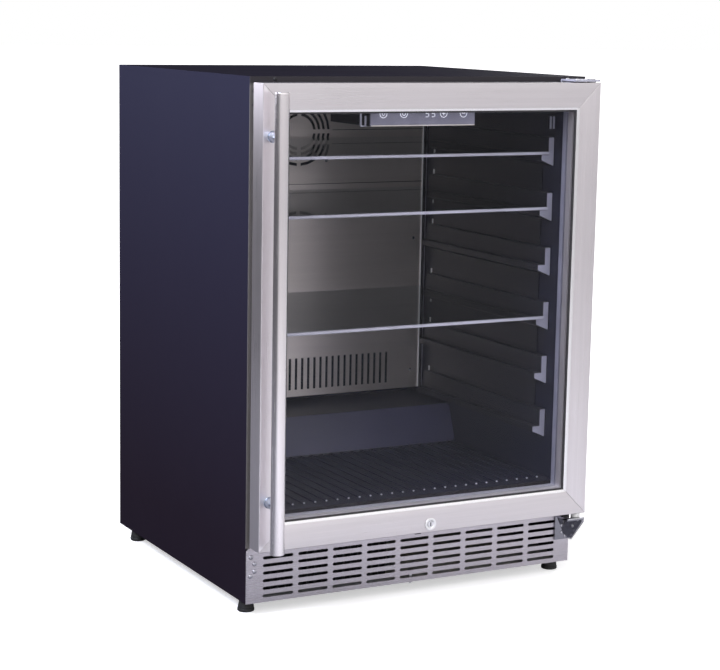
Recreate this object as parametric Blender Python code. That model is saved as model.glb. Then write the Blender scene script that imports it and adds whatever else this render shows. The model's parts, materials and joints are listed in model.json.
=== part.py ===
"""Undercounter beverage refrigerator with a hinged glass door, in metres, +Z up.

The front faces -Y and +X is the right-hand side. The origin is on the floor, under the
centre of the overall box, which runs from the front of the handle to the back of the case.
"""

import math

import bmesh
import bpy
from mathutils import Matrix, Vector

MM = 0.001

# ---------------------------------------------------------------- driving dimensions
WIDTH = 595 * MM
HEIGHT = 826 * MM
DEPTH = 575 * MM  # front of the door to the back of the case
HANDLE_REACH = 41 * MM  # how far the handle stands out of the door
GAP = 0.3 * MM  # between pieces that touch
SHEET = 1.5 * MM  # outer sheet metal

HALF = WIDTH / 2
DOOR_FRONT = -(DEPTH + HANDLE_REACH) / 2 + HANDLE_REACH
CASE_BACK = DOOR_FRONT + DEPTH
CASE_FRONT = DOOR_FRONT + 45 * MM
CASE_BOTTOM = 20 * MM
BACK_RECESS = 2.5 * MM  # the back sheets lie inside the side panels' rear edges
BACK_FACE = CASE_BACK - BACK_RECESS
BACK_INSIDE = BACK_FACE - SHEET - GAP
THROUGH = 5 * MM  # how far a cutter reaches past a face

# Cold space: distances behind the door's front face, and heights.
CAVITY_HALF = 262 * MM
CAVITY_FLOOR = 162 * MM
CAVITY_TOP = 790 * MM
CAVITY_BACK = DOOR_FRONT + 525 * MM
LINER_WALL = 1.5 * MM
HUMP_FOOT = DOOR_FRONT + 360 * MM
HUMP_CREST = DOOR_FRONT + 385 * MM
HUMP_TOP = 229 * MM
FOAM_BOTTOM = 122 * MM
BAY_TOP = 198 * MM  # ceiling of the compressor bay
BAY_FRONT = DOOR_FRONT + 400 * MM

FRAME_T = 2 * MM
BODY_BACK_OF_FRAME = CASE_FRONT + FRAME_T + GAP

KICK_TOP = 108 * MM
KICK_T = 1.2 * MM

DOOR_BOTTOM = 113 * MM
DOOR_TOP = 818 * MM
DOOR_T = 33 * MM
MEMBER = 45 * MM  # width of the door frame's members
TUBE_WALL = 1.5 * MM
REBATE = 36.5 * MM

PIN_X = 286.5 * MM
PIN_Y = DOOR_FRONT + 12 * MM
PIN_R = 4 * MM
PIN_HOLE_R = 4.3 * MM
BUSH_R = 6 * MM
BUSH_HOLE_R = 6.3 * MM
BUSH_FLANGE_R = 7.5 * MM
BUSH_DEPTH = 15 * MM
BUSH_POCKET = 18 * MM  # depth of the holes that hold the bushes

LOCK_X = 2 * MM
LOCK_Z = 126 * MM
LOCK_BARREL_R = 8 * MM

SHELF_PITCH = 90 * MM
LEDGES = 6
TOP_LEDGE_Z = 681 * MM  # underside of the highest ledge
SHELF_LEDGES = (0, 1, 3)
LEDGE_H = 46 * MM
LEDGE_STEP = 18 * MM  # height of the glass's seat above a ledge's underside

FAN_Z = 714 * MM
DUCT_FRONT = DOOR_FRONT + 480 * MM

FOOT_X = 282 * MM
FOOT_FRONT_Y = DOOR_FRONT + 77 * MM
FOOT_BACK_Y = DOOR_FRONT + 527 * MM

SMOOTH_ANGLE = math.radians(35)


# ---------------------------------------------------------------- scene and materials
def clear_scene():
    for obj in list(bpy.data.objects):
        bpy.data.objects.remove(obj, do_unlink=True)


def material(name, colour, roughness=0.5, metallic=0.0, alpha=1.0):
    made = bpy.data.materials.new(name)
    made.use_nodes = True
    made.diffuse_color = (*colour, alpha)
    shader = made.node_tree.nodes["Principled BSDF"]
    shader.inputs["Base Color"].default_value = (*colour, 1.0)
    shader.inputs["Roughness"].default_value = roughness
    shader.inputs["Metallic"].default_value = metallic
    shader.inputs["Alpha"].default_value = alpha
    return made


clear_scene()

NAVY = material("case_navy", (0.020, 0.024, 0.040), 0.35)
DARK_STEEL = material("frame_dark", (0.030, 0.028, 0.030), 0.45, 0.4)
ZINC = material("zinc_sheet", (0.55, 0.56, 0.57), 0.4, 1.0)
FOAM = material("foam_yellow", (0.75, 0.66, 0.38), 0.9)
LINER = material("liner_dark", (0.018, 0.018, 0.024), 0.45)
BRUSHED = material("door_steel", (0.62, 0.60, 0.61), 0.32, 1.0)
KICK = material("kick_steel", (0.50, 0.49, 0.52), 0.35, 1.0)
DUCT = material("duct_steel", (0.10, 0.10, 0.105), 0.35, 1.0)
CHROME = material("chrome", (0.75, 0.75, 0.77), 0.12, 1.0)
GLASS = material("clear_glass", (0.85, 0.90, 0.90), 0.03, 0.0, 0.25)
SPACER = material("spacer_grey", (0.42, 0.40, 0.45), 0.4, 0.6)
BLACK = material("black_plastic", (0.02, 0.02, 0.022), 0.5)
RUBBER = material("gasket_rubber", (0.10, 0.085, 0.08), 0.7)
TRIM = material("shelf_trim", (0.55, 0.55, 0.66), 0.35)
FASCIA = material("fascia_film", (0.27, 0.26, 0.33), 0.35)
BOARD = material("circuit_green", (0.03, 0.16, 0.07), 0.5)
LAMP = material("lamp_cover", (0.85, 0.86, 0.90), 0.3)
NYLON = material("bush_nylon", (0.82, 0.82, 0.80), 0.4)
FIN = material("coil_aluminium", (0.65, 0.66, 0.68), 0.4, 1.0)
MOTOR = material("compressor_black", (0.03, 0.03, 0.032), 0.35, 0.3)


# ---------------------------------------------------------------- mesh helpers
def world_location(obj):
    """Where an object stands, its parents being moved but never turned."""
    if obj is None:
        return Vector((0, 0, 0))
    return obj.location + world_location(obj.parent)


def add_object(name, mesh, look, origin=(0, 0, 0), parent=None):
    """An object whose mesh is given in world space, with its origin moved to a point."""
    mesh.transform(Matrix.Translation(-Vector(origin)))
    mesh.materials.clear()
    mesh.materials.append(look)
    obj = bpy.data.objects.new(name, mesh)
    bpy.context.scene.collection.objects.link(obj)
    obj.parent = parent
    obj.location = Vector(origin) - world_location(parent)
    return obj


def smooth(obj):
    obj.data.shade_smooth()
    obj.data.set_sharp_from_angle(angle=SMOOTH_ANGLE)
    return obj


def mesh_from(bm, name):
    """The mesh of one connected body, its faces turned to point out."""
    bmesh.ops.recalc_face_normals(bm, faces=bm.faces)
    if bm.calc_volume(signed=True) < 0:
        bmesh.ops.reverse_faces(bm, faces=bm.faces)
    mesh = bpy.data.meshes.new(name)
    bm.to_mesh(mesh)
    bm.free()
    return mesh


def join_meshes(name, meshes):
    """One mesh holding several separate bodies, for a Boolean's cutter or addition."""
    bm = bmesh.new()
    for mesh in meshes:
        bm.from_mesh(mesh)
    joined = bpy.data.meshes.new(name)
    bm.to_mesh(joined)
    bm.free()
    return joined


def box_mesh(low, high, bevel=0.0):
    bm = bmesh.new()
    size = Vector(high) - Vector(low)
    middle = (Vector(high) + Vector(low)) / 2
    bmesh.ops.create_cube(bm, size=1.0)
    bmesh.ops.scale(bm, vec=size, verts=bm.verts)
    bmesh.ops.translate(bm, vec=middle, verts=bm.verts)
    if bevel:
        bmesh.ops.bevel(bm, geom=list(bm.edges), offset=bevel, segments=1, affect="EDGES")
    return mesh_from(bm, "box")


def along_x(u, v, t):
    return (t, u, v)


def along_y(u, v, t):
    return (u, t, v)


def along_z(u, v, t):
    return (u, v, t)


def prism_mesh(loops, start, end, place):
    """A filled outline, with holes where further loops lie inside the first, drawn out
    from start to end. place turns (u, v, t) into a point."""
    curve = bpy.data.curves.new("outline", "CURVE")
    curve.dimensions = "2D"
    curve.fill_mode = "BOTH"
    curve.extrude = 0.5
    for loop in loops:
        spline = curve.splines.new("POLY")
        spline.points.add(len(loop) - 1)
        for point, (u, v) in zip(spline.points, loop):
            point.co = (u / MM, v / MM, 0, 1)
        spline.use_cyclic_u = True
    guide = bpy.data.objects.new("outline", curve)
    flat = bpy.data.meshes.new_from_object(guide)
    bpy.data.objects.remove(guide)
    bpy.data.curves.remove(curve)
    bm = bmesh.new()
    bm.from_mesh(flat)
    bpy.data.meshes.remove(flat)
    bmesh.ops.remove_doubles(bm, verts=bm.verts, dist=1e-3)
    for vert in bm.verts:
        u, v, side = vert.co
        t = start + (end - start) * (side + 0.5)
        vert.co = place(u * MM, v * MM, t)
    return mesh_from(bm, "prism")


def rectangle(low, high):
    (u0, v0), (u1, v1) = low, high
    return [(u0, v0), (u1, v0), (u1, v1), (u0, v1)]


def centred(centre, size, grow=0.0):
    """A rectangle about its centre, every side moved outwards by grow."""
    (u, v), (w, h) = centre, size
    reach_u, reach_v = w / 2 + grow, h / 2 + grow
    return rectangle((u - reach_u, v - reach_v), (u + reach_u, v + reach_v))


def rounded_slot(centre, length, height, corner_steps=4):
    """A slot with round ends, its length along u."""
    u, v = centre
    r = height / 2
    reach = length / 2 - r
    points = []
    for side in (1, -1):
        for i in range(corner_steps + 1):
            angle = math.pi * (i / corner_steps - side / 2)
            points.append((u + side * reach + r * math.cos(angle), v + r * math.sin(angle)))
    return points


def circle(centre, radius, steps=24):
    u, v = centre
    turns = [2 * math.pi * i / steps for i in range(steps)]
    return [(u + radius * math.cos(a), v + radius * math.sin(a)) for a in turns]


def lathe_mesh(profile, centre, axis, steps=24):
    """Turns (radius, distance) points about an axis through a point. The profile is a closed
    outline; points on the axis are left open and merge there."""
    bm = bmesh.new()
    verts = [bm.verts.new((r, 0, d)) for r, d in profile]
    for a, b in zip(verts, verts[1:] + verts[:1]):
        if a.co.x > 0 or b.co.x > 0:
            bm.edges.new((a, b))
    geometry = bm.verts[:] + bm.edges[:]
    bmesh.ops.spin(
        bm, geom=geometry, cent=(0, 0, 0), axis=(0, 0, 1), angle=2 * math.pi, steps=steps, use_merge=True
    )
    bmesh.ops.remove_doubles(bm, verts=bm.verts, dist=1e-6)
    turn = Vector((0, 0, 1)).rotation_difference(Vector(axis)).to_matrix().to_4x4()
    bm.transform(Matrix.Translation(centre) @ turn)
    return mesh_from(bm, "lathe")


def cylinder_mesh(radius, start, end, steps=24):
    """A round bar between two points."""
    run = Vector(end) - Vector(start)
    profile = [(0, 0), (radius, 0), (radius, run.length), (0, run.length)]
    return lathe_mesh(profile, start, run.normalized(), steps)


def ring_mesh(corners):
    """A rectangular ring about the Y axis. Each corner of its section is given as
    (half width, bottom, top, y)."""
    bm = bmesh.new()
    loops = []
    for half, bottom, top, y in corners:
        spots = ((-half, bottom), (half, bottom), (half, top), (-half, top))
        loops.append([bm.verts.new((x, y, z)) for x, z in spots])
    for a, b in zip(loops, loops[1:] + loops[:1]):
        for i in range(4):
            j = (i + 1) % 4
            bm.faces.new((a[i], a[j], b[j], b[i]))
    return mesh_from(bm, "ring")


def boolean(obj, mesh, operation, label):
    """Cuts a mesh from an object, or joins it on, with the mesh kept as a hidden helper."""
    helper = bpy.data.objects.new(f"{obj.name}_{label}", mesh)
    bpy.context.scene.collection.objects.link(helper)
    helper.hide_render = True
    helper.display_type = "WIRE"
    step = obj.modifiers.new(label, "BOOLEAN")
    step.operation = operation
    step.solver = "EXACT"
    step.object = helper


def cut(obj, *meshes, label):
    boolean(obj, join_meshes(label, meshes), "DIFFERENCE", label)


def unite(obj, *meshes, label):
    boolean(obj, join_meshes(label, meshes), "UNION", label)


def joint_empty(name, place, parent=None):
    """An empty on a joint's axis, which the moving pieces hang on."""
    empty = bpy.data.objects.new(name, None)
    bpy.context.scene.collection.objects.link(empty)
    empty.parent = parent
    empty.location = Vector(place) - world_location(parent)
    empty.empty_display_size = 20 * MM
    return empty


def box(name, low, high, look, parent=None, bevel=0.0):
    return add_object(name, box_mesh(low, high, bevel), look, parent=parent)


# ---------------------------------------------------------------- case
def outer_panels():
    """Side, top and back sheets around the foam."""
    for side, word in ((-1, "left"), (1, "right")):
        edge = sorted((side * (HALF - SHEET), side * HALF))
        low = (edge[0], BODY_BACK_OF_FRAME, CASE_BOTTOM)
        box(f"side_panel_{word}", low, (edge[1], CASE_BACK, HEIGHT), NAVY)
    inside = HALF - SHEET - GAP
    box("top_panel", (-inside, BODY_BACK_OF_FRAME, HEIGHT - SHEET), (inside, CASE_BACK, HEIGHT), NAVY)
    low = (-inside, BACK_FACE - SHEET, BAY_TOP + GAP)
    box("back_panel", low, (inside, BACK_FACE, HEIGHT - SHEET - GAP), ZINC)


def cavity_profile(grow):
    """The cold space's outline in (y, z), with every wall moved outwards by grow."""
    slope = Vector((HUMP_CREST - HUMP_FOOT, HUMP_TOP - CAVITY_FLOOR)).normalized()
    shift = Vector((slope.y, -slope.x)) * grow

    def on_slope(z):
        reach = (z - CAVITY_FLOOR - shift.y) / slope.y
        return HUMP_FOOT + shift.x + slope.x * reach

    floor, top, back = CAVITY_FLOOR - grow, CAVITY_TOP + grow, CAVITY_BACK + grow
    front = BODY_BACK_OF_FRAME
    crest = HUMP_TOP - grow
    return [
        (front, floor), (on_slope(floor), floor), (on_slope(crest), crest), (back, crest),
        (back, top), (front, top),
    ]


def extended_forward(profile):
    """The same outline with its open front drawn forward, for a cutter."""
    front = min(y for y, _ in profile)
    return [(y - THROUGH if y == front else y, z) for y, z in profile]


FLOOR_RIBS = 26
RIB_PITCH = 19.7 * MM
RIB_W = 4.5 * MM
RIB_H = 2.5 * MM
RIB_FRONT = DOOR_FRONT + 70 * MM


def floor_ribs():
    """Ribs along the floor, each sunk a little into the floor and the hump's foot."""
    sink = 0.5 * MM
    ribs = []
    for i in range(FLOOR_RIBS):
        x = (i - (FLOOR_RIBS - 1) / 2) * RIB_PITCH
        low = (x - RIB_W / 2, RIB_FRONT, CAVITY_FLOOR - sink)
        ribs.append(box_mesh(low, (x + RIB_W / 2, HUMP_FOOT + sink, CAVITY_FLOOR + RIB_H)))
    return ribs


def inner_liner():
    """Moulded liner: an open-fronted tub with a hump over the compressor and a ribbed floor."""
    wall = CAVITY_HALF + LINER_WALL
    shell = prism_mesh([cavity_profile(LINER_WALL)], -wall, wall, along_x)
    liner = add_object("inner_liner", shell, LINER)
    hollow = extended_forward(cavity_profile(0))
    cut(liner, prism_mesh([hollow], -CAVITY_HALF, CAVITY_HALF, along_x), label="cold_space")
    unite(liner, *floor_ribs(), label="ribs")


SWITCH_X = -150 * MM
SWITCH_Z = 812.5 * MM
SWITCH_R = 2.5 * MM
SWITCH_HOLE_R = 3 * MM
SWITCH_BODY_HALF = 6 * MM
SWITCH_BODY_BACK = CASE_FRONT + 24 * MM
CAM_SLOT = (27 * MM, 9 * MM)
CAM_POCKET_R = 13 * MM  # room behind the front frame for the lock's cam
CAM_POCKET_BACK = BODY_BACK_OF_FRAME + 8 * MM


def insulation_foam():
    """One foamed block between the sheets and the liner, stepped up over the compressor bay."""
    side = HALF - SHEET - GAP
    back = BACK_INSIDE
    top = HEIGHT - SHEET - GAP
    front = BODY_BACK_OF_FRAME
    outline = [
        (front, FOAM_BOTTOM), (BAY_FRONT, FOAM_BOTTOM), (BAY_FRONT, BAY_TOP), (back, BAY_TOP),
        (back, top), (front, top),
    ]
    foam = add_object("insulation_foam", prism_mesh([outline], -side, side, along_x), FOAM)
    hollow = extended_forward(cavity_profile(LINER_WALL + GAP))
    wall = CAVITY_HALF + LINER_WALL + GAP
    cut(foam, prism_mesh([hollow], -wall, wall, along_x), label="liner_space")
    reach = SWITCH_BODY_HALF + GAP
    start = front - THROUGH
    far_corner = (SWITCH_X + reach, SWITCH_BODY_BACK + GAP, SWITCH_Z + reach)
    switch = box_mesh((SWITCH_X - reach, start, SWITCH_Z - reach), far_corner)
    cam = cylinder_mesh(CAM_POCKET_R, (LOCK_X, start, LOCK_Z), (LOCK_X, CAM_POCKET_BACK, LOCK_Z))
    cut(foam, switch, cam, label="pockets")


def front_frame():
    """Steel face of the case that the gasket's magnet holds, with the lock's slot in it."""
    outline = rectangle((-HALF, KICK_TOP + GAP), (HALF, HEIGHT))
    opening = rectangle((-CAVITY_HALF, CAVITY_FLOOR), (CAVITY_HALF, CAVITY_TOP))
    slot = rounded_slot((LOCK_X, LOCK_Z), *CAM_SLOT)
    switch = circle((SWITCH_X, SWITCH_Z), SWITCH_HOLE_R, 16)
    loops = [outline, opening, slot, switch]
    add_object("front_frame", prism_mesh(loops, CASE_FRONT, CASE_FRONT + FRAME_T, along_y), DARK_STEEL)


KICK_COLUMNS = 9
KICK_ROWS = 6
KICK_COLUMN_PITCH = 60.6 * MM
KICK_ROW_PITCH = 12.1 * MM
KICK_SLOT = (52.7 * MM, 5 * MM)
KICK_TOP_ROW_Z = 90.5 * MM
KICK_CHAMFER = 4 * MM


def kick_plate():
    """Stainless ventilation plate under the door."""
    half = HALF - GAP
    c = KICK_CHAMFER
    outline = [
        (-half, CASE_BOTTOM), (half, CASE_BOTTOM), (half, KICK_TOP - c), (half - c, KICK_TOP),
        (-half + c, KICK_TOP), (-half, KICK_TOP - c),
    ]
    slots = []
    for column in range(KICK_COLUMNS):
        x = (column - (KICK_COLUMNS - 1) / 2) * KICK_COLUMN_PITCH
        for row in range(KICK_ROWS):
            centre = (x, KICK_TOP_ROW_Z - row * KICK_ROW_PITCH)
            slots.append(rounded_slot(centre, *KICK_SLOT, corner_steps=3))
    add_object("kick_plate", prism_mesh([outline, *slots], CASE_FRONT, CASE_FRONT + KICK_T, along_y), KICK)


def foot_places():
    for depth, y in (("front", FOOT_FRONT_Y), ("rear", FOOT_BACK_Y)):
        for side, x in (("left", -FOOT_X), ("right", FOOT_X)):
            yield f"{depth}_{side}", x, y


PAN_BOTTOM = 23.8 * MM
PAN_TOP = 25.8 * MM
STEM_R = 4 * MM


def base_pan():
    """Steel floor of the machinery space; the feet screw through it."""
    half = HALF - SHEET - GAP
    outline = rectangle((-half, CASE_FRONT + KICK_T + GAP), (half, BACK_INSIDE))
    holes = [circle((x, y), STEM_R + GAP, 12) for _, x, y in foot_places()]
    add_object("base_pan", prism_mesh([outline, *holes], PAN_BOTTOM, PAN_TOP, along_z), ZINC)


def feet():
    """Adjustable feet, each turning in its thread about its own axis."""
    profile = [
        (0, 0), (12.5 * MM, 0), (13.5 * MM, 1 * MM), (13.5 * MM, 5 * MM), (11 * MM, 16 * MM),
        (9.5 * MM, 18 * MM), (STEM_R, 18 * MM), (STEM_R, 45 * MM), (0, 45 * MM),
    ]
    for word, x, y in foot_places():
        turn = joint_empty(f"foot_axis_{word}", (x, y, 0))
        mesh = lathe_mesh(profile, (x, y, 0), (0, 0, 1), 16)
        smooth(add_object(f"foot_{word}", mesh, BLACK, origin=(x, y, 0), parent=turn))


GRILLE_COLUMNS = 4
GRILLE_ROWS = 7
GRILLE_PITCH = (120 * MM, 15 * MM)
GRILLE_SLOT = (100 * MM, 6 * MM)
GRILLE_CENTRE_X = -20 * MM
GRILLE_TOP_ROW_Z = 170 * MM
INLET_X = 250 * MM
INLET_Z = 48 * MM
INLET_SIZE = (30 * MM, 24 * MM)


def rear_grille():
    """Removable cover of the compressor bay, slotted, with the power inlet's cut-out."""
    half = HALF - SHEET - GAP
    pitch_x, pitch_z = GRILLE_PITCH
    loops = [rectangle((-half, PAN_BOTTOM), (half, BAY_TOP))]
    for column in range(GRILLE_COLUMNS):
        x = GRILLE_CENTRE_X + (column - (GRILLE_COLUMNS - 1) / 2) * pitch_x
        for row in range(GRILLE_ROWS):
            loops.append(centred((x, GRILLE_TOP_ROW_Z - row * pitch_z), GRILLE_SLOT))
    loops.append(centred((INLET_X, INLET_Z), INLET_SIZE, GAP))
    add_object("rear_grille", prism_mesh(loops, BACK_FACE - SHEET, BACK_FACE, along_y), ZINC)


def power_inlet():
    """Appliance inlet: a recessed socket with three flat contacts."""
    shell = prism_mesh([centred((INLET_X, INLET_Z), INLET_SIZE)], CASE_BACK - 22 * MM, CASE_BACK, along_y)
    inlet = add_object("power_inlet", shell, BLACK)
    floor, rim = CASE_BACK - 15 * MM, 3 * MM
    opening = centred((INLET_X, INLET_Z), INLET_SIZE, -rim)
    cut(inlet, prism_mesh([opening], floor, CASE_BACK + THROUGH, along_y), label="recess")
    contact = (2 * MM, 4 * MM)
    contacts = []
    for x, z in ((-7 * MM, -2 * MM), (0, 3 * MM), (7 * MM, -2 * MM)):
        outline = centred((INLET_X + x, INLET_Z + z), contact)
        contacts.append(prism_mesh([outline], floor - 1 * MM, CASE_BACK - 3 * MM, along_y))
    unite(inlet, *contacts, label="contacts")


# ---------------------------------------------------------------- inside of the cold space
def ledge_profile(side, bottom):
    """L-shaped ledge in (x, z), standing on the side wall."""
    reach, rise, upright = 24.5 * MM, 8 * MM, 12 * MM
    spots = [
        (0, 0), (reach, rise), (reach, LEDGE_STEP), (upright, LEDGE_STEP), (upright, LEDGE_H), (0, LEDGE_H),
    ]
    wall = side * (CAVITY_HALF - GAP)
    return [(wall - side * u, bottom + z) for u, z in spots]


def shelf_racks():
    """A moulded strip of six ledges on each side wall."""
    low, high = DOOR_FRONT + 74 * MM, DOOR_FRONT + 455 * MM
    bottoms = [TOP_LEDGE_Z - i * SHELF_PITCH for i in range(LEDGES)]
    for side, word in ((-1, "left"), (1, "right")):
        ledges = [prism_mesh([ledge_profile(side, bottom)], low, high, along_y) for bottom in bottoms]
        skin = sorted((side * (CAVITY_HALF - 0.6 * MM), side * (CAVITY_HALF - 2.2 * MM)))
        strip = box_mesh(
            (skin[0], low + 30 * MM, bottoms[-1] + 10 * MM),
            (skin[1], high - 2 * MM, bottoms[0] + LEDGE_H - 6 * MM),
        )
        rack = add_object(f"shelf_rack_{word}", strip, LINER)
        unite(rack, *ledges, label="ledges")


SHELF_HALF = 248.5 * MM
SHELF_T = 5 * MM
SHELF_GLASS_FRONT = DOOR_FRONT + 73.5 * MM
SHELF_REAR = DOOR_FRONT + 460 * MM
TRIM_FRONT = DOOR_FRONT + 67 * MM


def shelves():
    """Glass shelves, each with a trim strip along its front edge, sliding on the ledges."""
    for number, ledge in enumerate(SHELF_LEDGES, start=1):
        seat = TOP_LEDGE_Z - ledge * SHELF_PITCH + LEDGE_STEP + GAP
        slide = joint_empty(f"shelf_slide_{number}", (0, SHELF_GLASS_FRONT, seat))
        low, high = (-SHELF_HALF, SHELF_GLASS_FRONT, seat), (SHELF_HALF, SHELF_REAR, seat + SHELF_T)
        box(f"shelf_glass_{number}", low, high, GLASS, slide)
        low = (-SHELF_HALF, TRIM_FRONT, seat + 0.3 * MM)
        high = (SHELF_HALF, SHELF_GLASS_FRONT - GAP, seat + SHELF_T - 0.1 * MM)
        box(f"shelf_trim_{number}", low, high, TRIM, slide, bevel=0.8 * MM)


FAN_RINGS = (30 * MM, 39 * MM, 48 * MM, 57.5 * MM)
RING_SLOT = 5 * MM
SPOKE_HALF = 3.5 * MM
LOUVRES = 31
LOUVRE_PITCH = 12.2 * MM
LOUVRE_SLOT = (5 * MM, 57 * MM)
LOUVRE_Z = 283.5 * MM


def arc_slot(radius, quarter, steps=6):
    """Quarter of a ring slot, ended by the spokes on either side."""
    inner, outer = radius - RING_SLOT / 2, radius + RING_SLOT / 2
    points = []
    for r, order in ((inner, 1), (outer, -1)):
        trim = math.asin(SPOKE_HALF / r)
        start = quarter * math.pi / 2 + trim
        stop = (quarter + 1) * math.pi / 2 - trim
        turns = [start + (stop - start) * i / steps for i in range(steps + 1)][::order]
        points += [(r * math.cos(a), FAN_Z + r * math.sin(a)) for a in turns]
    return points


def duct_panel():
    """Bent steel cover of the evaporator: a ringed fan guard above and air louvres below."""
    half, sheet = 250 * MM, 1.2 * MM
    front, back = DUCT_FRONT, CAVITY_BACK - GAP
    outline = [
        (-half, front), (half, front), (half, back), (half - sheet, back),
        (half - sheet, front + sheet), (-half + sheet, front + sheet), (-half + sheet, back), (-half, back),
    ]
    panel = add_object("duct_panel", prism_mesh([outline], 243 * MM, CAVITY_TOP - 2 * MM, along_z), DUCT)
    start, stop = front - THROUGH, front + sheet + THROUGH
    slots = [prism_mesh([arc_slot(r, q)], start, stop, along_y) for r in FAN_RINGS for q in range(4)]
    for i in range(LOUVRES):
        x = (i - (LOUVRES - 1) / 2) * LOUVRE_PITCH
        slots.append(prism_mesh([centred((x, LOUVRE_Z), LOUVRE_SLOT)], start, stop, along_y))
    cut(panel, *slots, label="openings")


FAN_HUB = 16 * MM  # length of both fans' hubs
FAN_BLADES = 5
BLADE_T = 1.6 * MM
MOTOR_GAP = 0.4 * MM  # between a rotor's hub and its motor


def fan(name, centre, hub_r, blade_r):
    """Rotor with pitched blades, turning about its hub's axis along Y."""
    spin = joint_empty(f"{name}_axis", centre)
    middle = Vector(centre)
    half = Vector((0, FAN_HUB / 2, 0))
    hub = cylinder_mesh(hub_r, middle - half, middle + half, 20)
    reach = hub_r * 0.75
    blades = []
    for i in range(FAN_BLADES):
        blade = box_mesh((hub_r * 0.8, -BLADE_T / 2, -reach), (blade_r, BLADE_T / 2, reach))
        pitch = Matrix.Rotation(math.radians(28), 4, "X")
        turn = Matrix.Rotation(2 * math.pi * i / FAN_BLADES, 4, "Y")
        blade.transform(Matrix.Translation(middle) @ turn @ pitch)
        blades.append(blade)
    rotor = add_object(name, hub, BLACK, origin=centre, parent=spin)
    unite(rotor, *blades, label="blades")


EVAP_FAN = (0, DOOR_FRONT + 497 * MM, FAN_Z)


def finned_coil(name, low, high, fins):
    """A core plate with fins standing across it."""
    (x0, y0, z0), (x1, y1, z1) = low, high
    fin_t, core, margin = 1.5 * MM, 9 * MM, 3 * MM
    middle = (y0 + y1) / 2
    plate = box_mesh((x0, middle - core / 2, z0 + margin), (x1, middle + core / 2, z1 - margin))
    made = []
    for i in range(fins):
        x = x0 + (i + 0.5) * (x1 - x0) / fins
        made.append(box_mesh((x - fin_t / 2, y0, z0), (x + fin_t / 2, y1, z1)))
    coil = add_object(name, plate, FIN)
    unite(coil, *made, label="fins")


def cold_side():
    """Evaporator, its fan and motor, between the duct panel and the liner's back."""
    low, high = (-170 * MM, DOOR_FRONT + 487 * MM, 360 * MM), (170 * MM, DOOR_FRONT + 519 * MM, 620 * MM)
    finned_coil("evaporator_coil", low, high, 17)
    fan("evaporator_fan", EVAP_FAN, 17 * MM, 52 * MM)
    x, y, z = EVAP_FAN
    motor = cylinder_mesh(21 * MM, (x, y + FAN_HUB / 2 + MOTOR_GAP, z), (x, CAVITY_BACK - GAP, z), 20)
    smooth(add_object("evaporator_fan_motor", motor, ZINC))


CONTROL_HALF = 93 * MM
CONTROL_BOTTOM = 750 * MM
FASCIA_FRONT = DOOR_FRONT + 48.5 * MM
FASCIA_T = 3 * MM


def controls():
    """Control box hung from the ceiling behind the door's top rail, with its fascia and board."""
    top = CAVITY_TOP - GAP
    front = FASCIA_FRONT + FASCIA_T + GAP
    back = DOOR_FRONT + 182 * MM
    wall = 2 * MM
    case = box("control_box", (-CONTROL_HALF, front, CONTROL_BOTTOM), (CONTROL_HALF, back, top), BLACK)
    inside = CONTROL_HALF - wall
    hollow = box_mesh((-inside, front - THROUGH, CONTROL_BOTTOM + wall), (inside, back - wall, top - wall))
    cut(case, hollow, label="hollow")
    low, high = (-CONTROL_HALF, FASCIA_FRONT, CONTROL_BOTTOM), (CONTROL_HALF, front - GAP, top)
    box("control_fascia", low, high, FASCIA)
    reach = inside - 8 * MM
    box("control_board", (-reach, front + 4 * MM, 762 * MM), (reach, back - 12 * MM, 763.6 * MM), BOARD)


def lamp():
    """Lamp strip along the front of the ceiling, left of the controls."""
    top = CAVITY_TOP - GAP
    low, high = (-245 * MM, DOOR_FRONT + 52 * MM, top - 7 * MM), (-118 * MM, DOOR_FRONT + 66 * MM, top)
    box("light_strip", low, high, LAMP, bevel=1.5 * MM)


def temperature_probe():
    """U-shaped clip that hangs beside the controls and holds the probe."""
    left, right = -109 * MM, -99.5 * MM
    bottom, top, wire, hook = CONTROL_BOTTOM, CAVITY_TOP - GAP, 1.6 * MM, 16 * MM
    outline = [
        (left, bottom), (right, bottom), (right, bottom + hook), (right - wire, bottom + hook),
        (right - wire, bottom + wire), (left + wire, bottom + wire), (left + wire, top), (left, top),
    ]
    clip = prism_mesh([outline], DOOR_FRONT + 50 * MM, DOOR_FRONT + 54 * MM, along_y)
    add_object("temperature_probe", clip, TRIM)


def door_switch():
    """Sprung plunger behind the door's top rail, and the body it slides into."""
    front = BODY_BACK_OF_FRAME
    half = SWITCH_BODY_HALF
    low = (SWITCH_X - half, front, SWITCH_Z - half)
    body = box("door_switch_body", low, (SWITCH_X + half, SWITCH_BODY_BACK, SWITCH_Z + half), BLACK)
    start, stop = (SWITCH_X, front - THROUGH, SWITCH_Z), (SWITCH_X, SWITCH_BODY_BACK - 3 * MM, SWITCH_Z)
    cut(body, cylinder_mesh(SWITCH_HOLE_R, start, stop, 16), label="bore")
    tip = (SWITCH_X, DOOR_FRONT + 36.5 * MM, SWITCH_Z)
    length, soft = 25 * MM, 0.7 * MM
    stem = [(0, 0), (SWITCH_R - soft, 0), (SWITCH_R, soft), (SWITCH_R, length), (0, length)]
    slide = joint_empty("door_switch_axis", tip)
    mesh = lathe_mesh(stem, tip, (0, 1, 0), 16)
    smooth(add_object("door_switch_plunger", mesh, NYLON, origin=tip, parent=slide))


# ---------------------------------------------------------------- machinery under and behind
def dome_profile(radius, height, steps=5):
    """A can with domed ends, as (radius, distance) points from bottom to top."""
    cap = 28 * MM
    points = [(0, 0)]
    for i in range(1, steps + 1):
        a = math.pi / 2 * i / steps
        points.append((radius * math.sin(a), cap * (1 - math.cos(a))))
    for i in range(steps):
        a = math.pi / 2 * i / steps
        points.append((radius * math.cos(a), height - cap + cap * math.sin(a)))
    return points + [(0, height)]


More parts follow.
